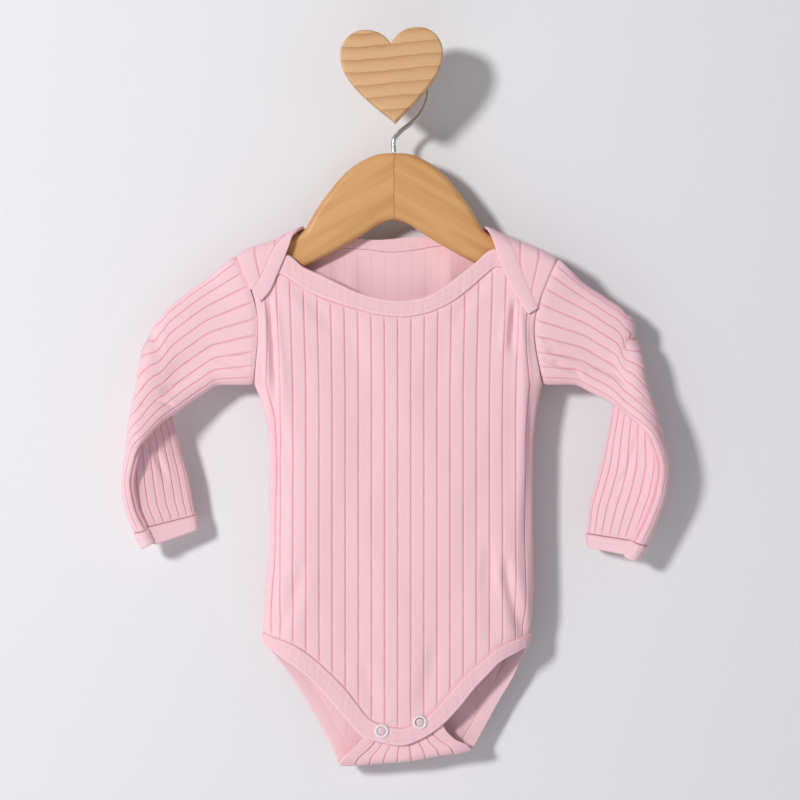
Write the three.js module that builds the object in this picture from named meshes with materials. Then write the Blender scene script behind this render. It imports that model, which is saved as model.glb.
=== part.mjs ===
// A newborn's long-sleeved bodysuit in wide-rib cotton knit, on a wooden hanger on a heart-shaped wall peg.
// The front panel hangs under the back panel's two shoulder flaps, and the back panel's crotch tab folds up
// in front.
// Millimetres, +Z up, the wall is the plane Y = 0 and the garment hangs in front of it, towards -Y.
// The origin is the centre of the peg's back face.
import * as THREE from "three";

// Driving sizes
const MIDDLE = 22; // the hanger's middle plane stands this far off the wall
const CLOTH = 1.3; // knit wall, from a groove to the inside
const RIB = 0.6; // a rib stands this far above its grooves
const RIB_PITCH = 8.67;
const RIB_ORIGIN = 2.7; // X of the groove nearest the middle
const RIB_SHOULDERS = [0, 0.26, 0.74]; // groove, then the two shoulders of a rib, in pitches
const PANEL_GROOVES = 9; // grooves on each side of the middle one
const SEAM_GAP = 0.35;
const PROUD = 0.5; // a binding stands this far above its panel
const RIDGE = 9; // the cloth turns over the shoulder within this height
const SIDE_TURN = 26; // and round the body's side within this width
const FLAP_FRONT = 11.3; // the lapped shoulder flap, in front of the middle plane
const CHEST_FRONT = 9; // the front panel under that flap
const SHOULDER_BACK = 8.2;
const FOLD = 5; // the crotch fold's height
const FOLD_PATH = 8; // a quarter turn of that fold, along the cloth
const TAB_FRONT = 6.2;
const UNDERARM_Z = -211.5;
const UNDERARM_TURN = 14;
const HANGER_THICK = 11;
const HANGER_ROUND = 4.2;
const HOOK_WIRE = 3.3;
const HOOK_RADIUS = 21.7;
const DOWEL_RADIUS = 6;
const HEART_BACK = 36;
const HEART_THICK = 16;
const HEART_TILT = 3.2; // degrees
const HEART_PLACE = { x: -1, z: -4.6 };
const SNAP_RADIUS = 4.75;

// One row a line: rows("x z", [1, 2]) gives [{x: 1, z: 2}].
function rows(names, ...lines) {
  const keys = names.split(" ");
  return lines.map((line) => Object.fromEntries(keys.map((key, i) => [key, line[i]])));
}

// A smooth function through a table, from one column to another, held level past both ends.
function track(table, from, to) {
  const xs = table.map((row) => row[from]);
  const ys = table.map((row) => row[to]);
  const slopes = xs.slice(1).map((x, i) => (ys[i + 1] - ys[i]) / (x - xs[i]));
  const tangents = xs.map((_, i) => {
    if (i === 0) return slopes[0];
    if (i === xs.length - 1) return slopes[i - 1];
    const [a, b] = [slopes[i - 1], slopes[i]];
    return a * b <= 0 ? 0 : (2 * a * b) / (a + b);
  });
  return (x) => {
    if (x <= xs[0]) return ys[0];
    if (x >= xs[xs.length - 1]) return ys[ys.length - 1];
    const i = xs.findIndex((_, k) => x < xs[k + 1]);
    const h = xs[i + 1] - xs[i];
    const t = (x - xs[i]) / h;
    const [t2, t3] = [t * t, t * t * t];
    return (
      (2 * t3 - 3 * t2 + 1) * ys[i] +
      (t3 - 2 * t2 + t) * h * tangents[i] +
      (3 * t2 - 2 * t3) * ys[i + 1] +
      (t3 - t2) * h * tangents[i + 1]
    );
  };
}

const smooth = (a, b, x) => THREE.MathUtils.smoothstep(x, Math.min(a, b), Math.max(a, b));
const mix = THREE.MathUtils.lerp;

// A rounded edge: 0 at the edge, 1 at `reach` from it and beyond.
function rise(distance, reach, power) {
  const left = 1 - THREE.MathUtils.clamp(distance / reach, 0, 1);
  return Math.pow(1 - Math.pow(left, power), 1 / power);
}

// The body's outline
const LEFT_SIDE = rows(
  "z x",
  [-400, -84], [-385, -86], [-376.7, -87.3], [-346, -86], [-325, -83.8], [-290, -83.3],
  [-258, -83.3], [-237, -85], [-222.7, -88.9], [UNDERARM_Z, -93.5],
);
const RIGHT_SIDE = rows(
  "z x",
  [-400, 87.5], [-385, 89.5], [-376.7, 90.9], [-346, 93.3], [-330, 93], [-298.7, 92.6],
  [-250, 93.1], [-234, 94.6], [-222.7, 96.6], [UNDERARM_Z, 99],
);
const SHOULDER_RIDGE = rows(
  "x z",
  [0, -78], [45, -97], [61, -106.8], [70, -110.8], [79, -115.2], [97, -121.5], [105, -126], [110, -128.6],
);
const BODY_DEPTH = rows(
  "z front back",
  [-464, 8.4, 6], [-445, 8.9, 6.2], [-425, 9.4, 6.8], [-400, 10.8, 7.8], [-370, 12.2, 8.8], [-300, 12.8, 9.3],
  [-240, 12, 9], [-210, 11, 8.7], [-180, 9.9, 8.4], [-165, 9.2, 8.2], [-150, 9, 8.2], [-110, 9, 8.2],
);
const NECK_SEAM = rows(
  "x z",
  [-101, -147.5], [-92, -142], [-84, -139], [-76.7, -138.8], [-63.3, -146.7], [-52.7, -152.7],
  [-40.7, -157.3], [-23.6, -162.5], [-10, -166], [5.3, -167.3], [20.7, -165], [36, -158.7],
  [46.7, -151.3], [59, -140.7], [68.7, -134], [76, -135], [86, -139], [95, -144], [106, -150],
);
const NECK_EDGE = rows(
  "x z",
  [-101, -139], [-92, -132.8], [-84, -128.4], [-78, -126], [-71.3, -125.6], [-59.6, -134], [-48, -139],
  [-37.3, -144.3], [-23.6, -150.5], [-10, -154.3], [4, -155.8], [17.7, -154.3], [31.3, -148], [43.7, -139],
  [52.7, -132], [66.7, -121.8], [72, -124.5], [80, -130.3], [92, -136.4], [106, -143.5],
);
const FRONT_LEG_SEAM = rows(
  "x z",
  [-87.5, -376.3], [-81.3, -378.4], [-67.3, -383.3], [-52, -393.7], [-41.7, -403.3], [-32, -413.3],
  [-24, -423.7], [-16.7, -432.7], [-9.3, -436.7], [-1.3, -438.8], [5.3, -439.3], [12, -437.4],
  [22.3, -431.8], [34, -419.3], [48.7, -402.7], [63.3, -390.7], [70.7, -384.7], [80.4, -380.7],
  [91, -376.5],
);
const FRONT_LEG_EDGE = rows(
  "x z",
  [-87, -385.2], [-79, -389.5], [-73.3, -393.7], [-66, -398.7], [-56.7, -406], [-38.7, -426],
  [-28.7, -437.3], [-20.7, -445.6], [-10.7, -448.9], [4.7, -451.3], [17.3, -447.3], [30.7, -438.7],
  [45.3, -423.7], [52.7, -414], [62, -404], [70.7, -395.3], [81.7, -389.3], [90, -385.2],
);
const BACK_NECK_SEAM = rows(
  "x z",
  [-70, -119.8], [-55, -120], [-35, -120.5], [-17.3, -121.6], [-2, -123.3], [13.3, -122], [27.7, -119.4],
  [45, -118.2], [60, -119.5], [75, -122],
);
const BACK_LEG_SEAM = rows(
  "x z",
  [-87.5, -376.3], [-78, -383.6], [-69, -391.6], [-62.5, -400.3], [-56, -410.5], [-48.9, -422],
  [-41.1, -435.7], [-34, -448.5], [-28.5, -459], [43, -451.4], [48.7, -443.3], [55.3, -431.3],
  [62.7, -418], [71.3, -403.3], [78, -388.6], [84, -382.4], [91, -376.5],
);
const CROTCH_FOLD = rows(
  "x z",
  [-45, -464], [-24, -464.7], [-12, -464.2], [11.3, -462], [35.3, -458], [52, -454.3], [60, -452],
);
// The tab's two seams, by the path from the fold's bottom: less than 0 behind it, more in front.
const TAB_SEAMS = rows(
  "path left right",
  [-8, -28.5, 43], [-3, -27, 41], [0, -26.3, 40], [3, -25.5, 39.5], [8, -23.5, 37.5], [13, -17.5, 31.5],
  [20.5, -11, 25], [28, -7.5, 21.5],
);
const TAB_TOP = { side: 27, middle: 32.5 };
const FLAP_SEAMS = {
  left: rows(
    "x z",
    [-97, -151], [-90.5, -144], [-85.9, -135.4], [-81.3, -124.4], [-78.5, -119.4], [-75, -115.2],
    [-71.5, -111.6], [-69, -110.5],
  ),
  right: rows(
    "x z",
    [74.5, -113.1], [75.6, -114.3], [76.4, -115.8], [79, -121.3], [81.7, -129.3], [87, -142],
    [94.7, -160], [97, -165],
  ),
};
const ARMHOLES = {
  left: { under: [-93.5, UNDERARM_Z], turn: [-91, -165], top: -105.3 },
  right: { under: [99, UNDERARM_Z], turn: [93.5, -170], top: 108.7 },
};

const ridgeTrack = track(SHOULDER_RIDGE, "x", "z");
const ridge = (x) => ridgeTrack(Math.abs(x));
const neckSeam = track(NECK_SEAM, "x", "z");
const frontLegSeam = track(FRONT_LEG_SEAM, "x", "z");
const backLegSeam = track(BACK_LEG_SEAM, "x", "z");
const backNeckSeam = track(BACK_NECK_SEAM, "x", "z");
const foldBottom = track(CROTCH_FOLD, "x", "z");
const flapSeam = { left: track(FLAP_SEAMS.left, "x", "z"), right: track(FLAP_SEAMS.right, "x", "z") };
const tabSeam = { left: track(TAB_SEAMS, "path", "left"), right: track(TAB_SEAMS, "path", "right") };
const crown = { front: track(BODY_DEPTH, "z", "front"), back: track(BODY_DEPTH, "z", "back") };

// A curve from `a` to `b` that passes through `turn` at its middle.
function turningCurve(a, turn, b) {
  const pull = turn.clone().multiplyScalar(8).sub(a).sub(b).divideScalar(6);
  return new THREE.CubicBezierCurve3(a, pull, pull, b);
}

// An armhole seam as X by Z.
function armholeTrack({ under, turn, top }) {
  const flat = (x, z) => new THREE.Vector3(x, 0, z);
  const seam = turningCurve(flat(...under), flat(...turn), flat(top, ridge(top)));
  return track(seam.getPoints(24), "z", "x");
}
const armhole = { left: armholeTrack(ARMHOLES.left), right: armholeTrack(ARMHOLES.right) };
const side = { left: track(LEFT_SIDE, "z", "x"), right: track(RIGHT_SIDE, "z", "x") };
const bodyEdge = (which, z) => (z < UNDERARM_Z ? side[which](z) : armhole[which](z));

// How far the body's edge stands off the middle plane: nothing at a side seam, a full layer at an armhole.
function edgeDepth(z, layer) {
  return 0.15 + (layer - 0.15) * rise(z - UNDERARM_Z, UNDERARM_TURN, 2);
}

function bodyDepth(x, z, face) {
  const layer = face === "front" ? CHEST_FRONT : SHOULDER_BACK;
  const [left, right] = [bodyEdge("left", z), bodyEdge("right", z)];
  const inset = Math.min(x - left, right - x);
  const edge = edgeDepth(z, layer);
  return edge + (crown[face](z) - edge) * rise(inset, SIDE_TURN, 2);
}

const frontPoint = (x, z) => new THREE.Vector3(x, -MIDDLE - bodyDepth(x, z, "front"), z);

// The back panel up to the shoulder's turn.
function backPoint(x, z) {
  return new THREE.Vector3(x, -MIDDLE + bodyDepth(x, z, "back") * rise(ridge(x) - z, RIDGE, 3), z);
}

// Over the shoulder: `turn` is 0 at the back of the ridge, 1 on it, 2 at its front, then straight down.
function shoulderPoint(x, turn) {
  const angle = (Math.min(turn, 2) * Math.PI) / 2;
  const drop = RIDGE * (1 - Math.pow(Math.sin(angle), 2 / 3)) + Math.max(turn - 2, 0) * RIDGE;
  const depth = Math.cos(angle) > 0 ? SHOULDER_BACK : -FLAP_FRONT;
  const y = -MIDDLE + depth * Math.pow(Math.abs(Math.cos(angle)), 2 / 3);
  return new THREE.Vector3(x, y, ridge(x) - drop);
}

// The turn that brings the flap down to height z on the front.
function turnAt(x, z) {
  const drop = ridge(x) - z;
  if (drop >= RIDGE) return 2 + (drop - RIDGE) / RIDGE;
  return 2 - Math.asin(Math.pow(Math.max(1 - drop / RIDGE, 0), 1.5)) / (Math.PI / 2);
}

// The flap, laid over the front panel.
function flapPoint(x, z) {
  return new THREE.Vector3(x, -MIDDLE - FLAP_FRONT * rise(ridge(x) - z, RIDGE, 3), z);
}

// Round the crotch fold and up the tab, by the path from the fold's bottom.
function foldPoint(x, path) {
  const angle = (THREE.MathUtils.clamp(path / FOLD_PATH, -1, 1) * Math.PI) / 2;
  const beyond = Math.max(Math.abs(path) - FOLD_PATH, 0);
  const z = foldBottom(x) + FOLD * (1 - Math.cos(angle)) + beyond;
  const depth = path > 0 ? TAB_FRONT : bodyDepth(x, foldBottom(x) + FOLD, "back");
  return new THREE.Vector3(x, -MIDDLE - depth * Math.sin(angle), z);
}

// Columns of a panel: both edges, one more groove inside each, and the straight grooves between.
const PANEL_COLUMNS = 2 * PANEL_GROOVES + 4;
function grooveX(column, z) {
  const [left, right] = [bodyEdge("left", z), bodyEdge("right", z)];
  const spread = 1 + 0.04 * smooth(-230, -115, z);
  const straight = (k) => RIB_ORIGIN + k * RIB_PITCH * spread;
  const k = column - 2 - PANEL_GROOVES;
  if (column === 0) return left;
  if (column === PANEL_COLUMNS) return right;
  if (column === 1) return (left + straight(-PANEL_GROOVES)) / 2;
  if (column === PANEL_COLUMNS - 1) return (right + straight(PANEL_GROOVES)) / 2;
  return straight(k);
}

function columnX(fine, z) {
  const column = Math.min(Math.floor(fine / 3), PANEL_COLUMNS - 1);
  const share = fine === 3 * PANEL_COLUMNS ? 1 : RIB_SHOULDERS[fine % 3];
  return mix(grooveX(column, z), grooveX(column + 1, z), share);
}

// The place on a column where its height answers heightAt(x).
function settle(fine, start, heightAt) {
  let z = start;
  for (let i = 0; i < 6; i++) z = heightAt(columnX(fine, z));
  return { x: columnX(fine, z), z };
}

// A wall of cloth over a grid: ribs raised outside, plain inside, closed round its edge.
function clothWall({ columns, steps, point, has, around, outward, keepInside }) {
  const fine = 3 * columns;
  const across = around ? fine : fine + 1;
  const at = (i, j) => (around ? i % fine : i) + j * across;
  const base = [];
  for (let j = 0; j <= steps; j++) for (let i = 0; i < across; i++) base.push(point(i, j));
  const normals = base.map(() => new THREE.Vector3());
  const present = (c, j) => {
    if (j < 0 || j >= steps) return false;
    if (around) return true;
    return c >= 0 && c < columns && has(c, j);
  };
  const each = (visit) => {
    for (let j = 0; j < steps; j++) for (let c = 0; c < columns; c++) if (present(c, j)) visit(c, j);
  };
  each((c, j) => {
    for (let f = 0; f < 3; f++) {
      const i = 3 * c + f;
      const quad = [at(i, j), at(i + 1, j), at(i + 1, j + 1), at(i, j + 1)];
      const rightward = base[quad[2]].clone().sub(base[quad[0]]);
      const upward = base[quad[3]].clone().sub(base[quad[1]]);
      const normal = rightward.cross(upward).multiplyScalar(outward);
      quad.forEach((q) => normals[q].add(normal));
    }
  });
  normals.forEach((normal) => normal.normalize());
  const outer = base.map((p, q) => {
    const i = q % across;
    return p.clone().addScaledVector(normals[q], i % 3 === 0 ? 0 : RIB);
  });
  const inner = base.map((p, q) => {
    const moved = p.clone().addScaledVector(normals[q], -CLOTH);
    return keepInside ? keepInside(moved, Math.floor(q / across)) : moved;
  });
  const vertices = [...outer, ...inner];
  const shift = base.length;
  const faces = [];
  const add = (...corners) => faces.push(outward > 0 ? corners : [corners[0], corners[2], corners[1]]);
  each((c, j) => {
    const O = (f, up) => at(3 * c + f, j + up);
    const I = (f, up) => shift + at(3 * c + f, j + up);
    for (let f = 0; f < 3; f++) {
      add(O(f, 0), O(f + 1, 0), O(f + 1, 1));
      add(O(f, 0), O(f + 1, 1), O(f, 1));
    }
    add(I(0, 0), I(3, 1), I(3, 0));
    add(I(0, 0), I(0, 1), I(3, 1));
    if (!present(c, j - 1)) {
      add(O(1, 0), O(0, 0), I(0, 0));
      add(O(2, 0), O(1, 0), I(0, 0));
      add(I(3, 0), O(2, 0), I(0, 0));
      add(O(3, 0), O(2, 0), I(3, 0));
    }
    if (!present(c, j + 1)) {
      add(O(0, 1), O(1, 1), I(0, 1));
      add(O(1, 1), O(2, 1), I(0, 1));
      add(O(2, 1), I(3, 1), I(0, 1));
      add(O(2, 1), O(3, 1), I(3, 1));
    }
    if (!present(c - 1, j)) {
      add(O(0, 0), O(0, 1), I(0, 1));
      add(O(0, 0), I(0, 1), I(0, 0));
    }
    if (!present(c + 1, j)) {
      add(O(3, 0), I(3, 0), I(3, 1));
      add(O(3, 0), I(3, 1), O(3, 1));
    }
  });
  return meshGeometry(vertices, faces);
}

function meshGeometry(vertices, faces) {
  const used = new Map();
  const positions = [];
  const index = faces.flat().map((v) => {
    if (!used.has(v)) {
      used.set(v, used.size);
      positions.push(...vertices[v].toArray());
    }
    return used.get(v);
  });
  const geometry = new THREE.BufferGeometry();
  geometry.setAttribute("position", new THREE.Float32BufferAttribute(positions, 3));
  geometry.setIndex(index);
  geometry.computeVertexNormals();
  return geometry;
}

// A binding: a strip from a seam to a free edge. Both are lists of points, and `normals` point out of the cloth.
const STRIP_SECTION = rows(
  "across up",
  [0, 0.6], [0.5, 1], [0.93, 0.7], [1, -0.6], [0.93, -2.6], [0, -2.6],
);
function stripGeometry(seam, edge, outward, gap = SEAM_GAP) {
  const sections = seam.map((s, i) => {
    const across = edge[i].clone().sub(s);
    const along = seam[Math.min(i + 1, seam.length - 1)].clone().sub(seam[Math.max(i - 1, 0)]);
    along.add(edge[Math.min(i + 1, seam.length - 1)]).sub(edge[Math.max(i - 1, 0)]);
    const normal = along.cross(across).normalize().multiplyScalar(outward);
    const start = s.clone().addScaledVector(across.clone().normalize(), gap);
    const width = edge[i].clone().sub(start);
    const corner = (p) => {
      return start.clone().addScaledVector(width, p.across).addScaledVector(normal, p.up * PROUD);
    };
    return STRIP_SECTION.map(corner);
  });
  const sides = STRIP_SECTION.length;
  const faces = [];
  const add = (a, b, c) => faces.push(outward > 0 ? [a, b, c] : [a, c, b]);
  for (let i = 0; i + 1 < sections.length; i++) {
    for (let k = 0; k < sides; k++) {
      const [a, b] = [i * sides + k, i * sides + ((k + 1) % sides)];
      add(a, a + sides, b);
      add(b, a + sides, b + sides);
    }
  }
  const last = (sections.length - 1) * sides;
  for (let k = 1; k + 1 < sides; k++) {
    add(0, k, k + 1);
    add(last, last + k + 1, last + k);
  }
  return meshGeometry(sections.flat(), faces);
}

// `count` points, evenly spaced along a smooth line through the points given.
function spread(points, count) {
  return new THREE.CatmullRomCurve3(points, false, "centripetal").getSpacedPoints(count - 1);
}

// Looks
function finish(color, roughness, metalness = 0) {
  return new THREE.MeshStandardMaterial({ color, roughness, metalness });
}
const knit = () => finish(0xefc6cf, 0.9);
const bindingKnit = () => finish(0xf1c9d2, 0.88);
const group = new THREE.Group();
function piece(name, geometry, material) {
  const mesh = new THREE.Mesh(geometry, material);
  mesh.name = name;
  group.add(mesh);
  return mesh;
}

// Rows of a panel lie closer towards its armholes.
const closerAbove = (share) => 1 - Math.pow(1 - share, 1.35);

// Front panel
const FRONT_STEPS = 12;
function frontGrid(i, j) {
  const low = settle(i, -380, (x) => frontLegSeam(x)).z;
  const high = settle(i, -150, (x) => neckSeam(x)).z;
  const z = mix(low, high, closerAbove(j / FRONT_STEPS));
  return frontPoint(columnX(i, z), z);
}
const beforeMiddle = (p) => p.setY(Math.min(p.y, -MIDDLE - 0.15));
piece(
  "front_body",
  clothWall({
    columns: PANEL_COLUMNS,
    steps: FRONT_STEPS,
    point: frontGrid,
    has: () => true,
    outward: 1,
    keepInside: beforeMiddle,
  }),
  knit(),
);

// Back panel: the tab and its fold below, the back, and the flaps over the shoulders
const TAB_PATHS = [32, 25, 19, 13, 8, 4, 0, -4, -FOLD_PATH];
const TAB_STEPS = TAB_PATHS.length - 1;
const BACK_STEPS = 11;
const OVER_TURNS = [0, 0.4, 0.75, 1];
const FLAP_STEPS = 5;
const OVER_STEPS = OVER_TURNS.length - 1 + FLAP_STEPS;
const TAB_COLUMNS = { from: 8, to: 15 };
const FLAP_COLUMNS = { left: 3, right: PANEL_COLUMNS - 3 };
function backGrid(i, j) {
  const column = i / 3;
  const [first, last] = [TAB_COLUMNS.from * 3, TAB_COLUMNS.to * 3];
  const share = (i - first) / (last - first);
  const middle = i >= first && i <= last;
  const tabX = (path) => mix(tabSeam.left(path), tabSeam.right(path), THREE.MathUtils.clamp(share, 0, 1));
  if (j < TAB_STEPS) {
    const top = mix(TAB_TOP.side, TAB_TOP.middle, rise(Math.min(share, 1 - share), 0.4, 2));
    const path = j === 0 ? top : TAB_PATHS[j];
    return foldPoint(tabX(path), path);
  }
  const overShoulder = column <= FLAP_COLUMNS.left || column >= FLAP_COLUMNS.right;
  const which = column < PANEL_COLUMNS / 2 ? "left" : "right";
  const high = settle(i, -130, (x) => (overShoulder ? ridge(x) - RIDGE : backNeckSeam(x)));
  if (j <= TAB_STEPS + BACK_STEPS) {
    const low = middle ? foldBottom(tabX(-FOLD_PATH)) + FOLD : settle(i, -400, (x) => backLegSeam(x)).z;
    const z = mix(low, high.z, closerAbove((j - TAB_STEPS) / BACK_STEPS));
    const towardsTab = middle ? 1 - smooth(-459, -425, z) : 0;
    return backPoint(mix(columnX(i, z), tabX(-FOLD_PATH), towardsTab), z);
  }
  const end = settle(i, -120, (x) => Math.min(flapSeam[which](x), ridge(x) - 0.3));
  const step = j - TAB_STEPS - BACK_STEPS;
  const beyond = step - OVER_TURNS.length + 1;
  const turn = beyond <= 0 ? OVER_TURNS[step] : mix(1, turnAt(end.x, end.z), beyond / FLAP_STEPS);
  const spot = settle(i, -120, (x) => shoulderPoint(x, turn).z);
  return shoulderPoint(spot.x, turn);
}
const onBack = (j) => j >= TAB_STEPS && j < TAB_STEPS + BACK_STEPS;
const behindMiddle = (p, j) => (onBack(j) ? p.setY(Math.max(p.y, -MIDDLE + 0.15)) : p);
function backHas(column, j) {
  if (j < TAB_STEPS) return column >= TAB_COLUMNS.from && column < TAB_COLUMNS.to;
  if (j < TAB_STEPS + BACK_STEPS) return true;
  return column < FLAP_COLUMNS.left || column >= FLAP_COLUMNS.right;
}
piece(
  "back_body",
  clothWall({
    columns: PANEL_COLUMNS,
    steps: TAB_STEPS + BACK_STEPS + OVER_STEPS,
    point: backGrid,
    has: backHas,
    outward: -1,
    keepInside: behindMiddle,
  }),
  knit(),
);

// Neck bindings
function heightsAlong(table, from, to) {
  const height = track(table, "x", "z");
  const xs = table.map((row) => row.x).filter((x) => x > from && x < to);
  return [from, ...xs, to].map((x) => ({ x, z: height(x) }));
}
const NECK_ENDS = { seam: [-96.8, 98.5], edge: [-98.6, 101.5] };
piece(
  "neck_binding_front",
  stripGeometry(
    spread(heightsAlong(NECK_SEAM, ...NECK_ENDS.seam).map((p) => frontPoint(p.x, p.z)), 34),
    spread(heightsAlong(NECK_EDGE, ...NECK_ENDS.edge).map((p) => frontPoint(p.x, p.z)), 34),
    1,
    0.9,
  ),
  bindingKnit(),
);

// The back neck binding runs from one flap's tip over the shoulder, round the back of the neck and down the
// other flap.
// `drop` is the height below the shoulder's ridge, `face` 1 on the front, -1 behind.
const NECK_BACK = rows(
  "seamX seamDrop edgeX edgeDrop face",
  [-94.6, 27.8, -88.6, 38.5, 1], [-90.2, 25, -82.3, 33.4, 1], [-85.7, 17.4, -77.3, 24.4, 1],
  [-81.2, 8.6, -72.7, 16, 1], [-78.3, 4.6, -69.5, 9.6, 1], [-74.6, 2, -67, 3.4, 1],
  [-70.5, 0.5, -63.4, 0.7, 1], [-68.2, 0, -60.5, 0, 1], [-68.1, 0.5, -60, 0.5, -1],
  [-68.5, 3, -59, 2.4, -1], [-68.2, 8.6, -54, 6.5, -1],
);
const NECK_MIDDLE = rows(
  "seamX seamZ edgeX edgeZ",
  [-55, -120, -44, -111.6], [-35, -120.5, -30, -113.4], [-17.3, -121.6, -13, -114.6], [-2, -123.3, -1, -114],
  [13.3, -122, 11, -112.6], [27.7, -119.4, 24, -112.4], [45, -118, 38, -111.6], [60, -119, 47.5, -110],
);
const NECK_BACK_RIGHT = rows(
  "seamX seamDrop edgeX edgeDrop face",
  [73.8, 8, 55, 6, -1], [74.1, 3, 58.8, 2.4, -1], [74.4, 0.5, 60, 0.5, -1], [74.7, 0, 60.5, 0, 1],
  [75.2, 0.5, 61.5, 0.7, 1], [76, 1.6, 63.4, 3.2, 1], [78.5, 5.4, 66, 8.8, 1], [82.2, 14.6, 69.4, 17.6, 1],
  [87.4, 25.4, 75, 28.6, 1], [92.2, 34.6, 81.5, 38, 1], [95, 40.6, 88.8, 46.5, 1],
);
function overPoint(x, drop, face) {
  const z = ridge(x) - drop;
  return face > 0 ? flapPoint(x, z) : backPoint(x, z);
}
function neckLine(kind) {
  const shoulder = (row) => overPoint(row[kind + "X"], row[kind + "Drop"], row.face);
  const behind = (row) => backPoint(row[kind + "X"], row[kind + "Z"]);
  return [...NECK_BACK.map(shoulder), ...NECK_MIDDLE.map(behind), ...NECK_BACK_RIGHT.map(shoulder)];
}
// Points between the rows of two matched lines, by one parameter, so that the lines stay matched.
function between(points, count) {
  return new THREE.CatmullRomCurve3(points, false, "centripetal").getPoints(count);
}
piece(
  "neck_binding_back",
  stripGeometry(between(neckLine("seam"), 58), between(neckLine("edge"), 58), 1, 0.95),
  bindingKnit(),
);

// Lower bindings
piece(
  "leg_binding_front",
  stripGeometry(
    spread(heightsAlong(FRONT_LEG_SEAM, -86.9, 90.5).map((p) => frontPoint(p.x, p.z)), 38),
    spread(heightsAlong(FRONT_LEG_EDGE, -85.7, 89.2).map((p) => frontPoint(p.x, p.z)), 38),
    -1,
    0.5,
  ),
  bindingKnit(),
);

const LEG_BACK = rows(
  "seamX seamZ edgeX edgeZ",
  [-87, -376.8, -86, -385.3], [-78, -383.8, -81, -391], [-69, -391.6, -76.7, -396.7],
  [-62.5, -400.3, -70.3, -405.3], [-56, -410.5, -64, -415.3], [-48.9, -422, -57, -426.7],
  [-41.1, -435.7, -49.3, -440], [-34, -448.5, -42.7, -452.3],
);
const LEG_TAB = rows(
  "seamX seamPath edgeX edgePath",
  [-28.5, -8, -38.5, -6], [-27, -3, -37.4, -2], [-26.3, 0, -37, 0], [-25.5, 3, -36.5, 2.5],
  [-23.5, 8, -34.5, 7.5], [-17.5, 13, -28, 13.5], [-11, 20.5, -20.4, 21.5], [-7.8, 27, -16, 31],
  [-2.5, 31, -8, 39], [8, 32.6, 8, 41.5], [16.5, 31.6, 22, 39], [21.8, 27, 30, 31],
  [25, 20.5, 34.4, 20.5], [31.5, 13, 41, 12.5], [37.5, 8, 48.3, 7.5], [39.5, 3, 51.6, 2.5],
  [40, 0, 52.6, 0], [41, -3, 53.6, -2], [43, -8, 55.6, -6],
);
const LEG_BACK_RIGHT = rows(
  "seamX seamZ edgeX edgeZ",
  [48.7, -443.3, 57.6, -446.4], [55.3, -431.3, 63.3, -436], [62.7, -418, 70.7, -422.7],
  [71.3, -403.3, 79.3, -408], [77.6, -389.6, 86, -393.3], [84, -382.8, 88, -388.8],
  [90.4, -377.2, 89, -385.5],
);
function legLine(kind) {
  const onBack = (row) => backPoint(row[kind + "X"], row[kind + "Z"]);
  const onTab = (row) => foldPoint(row[kind + "X"], row[kind + "Path"]);
  return [...LEG_BACK.map(onBack), ...LEG_TAB.map(onTab), ...LEG_BACK_RIGHT.map(onBack)];
}
piece(
  "leg_binding_back",
  stripGeometry(between(legLine("seam"), 66), between(legLine("edge"), 66), 1, 1),
  bindingKnit(),
);

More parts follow.
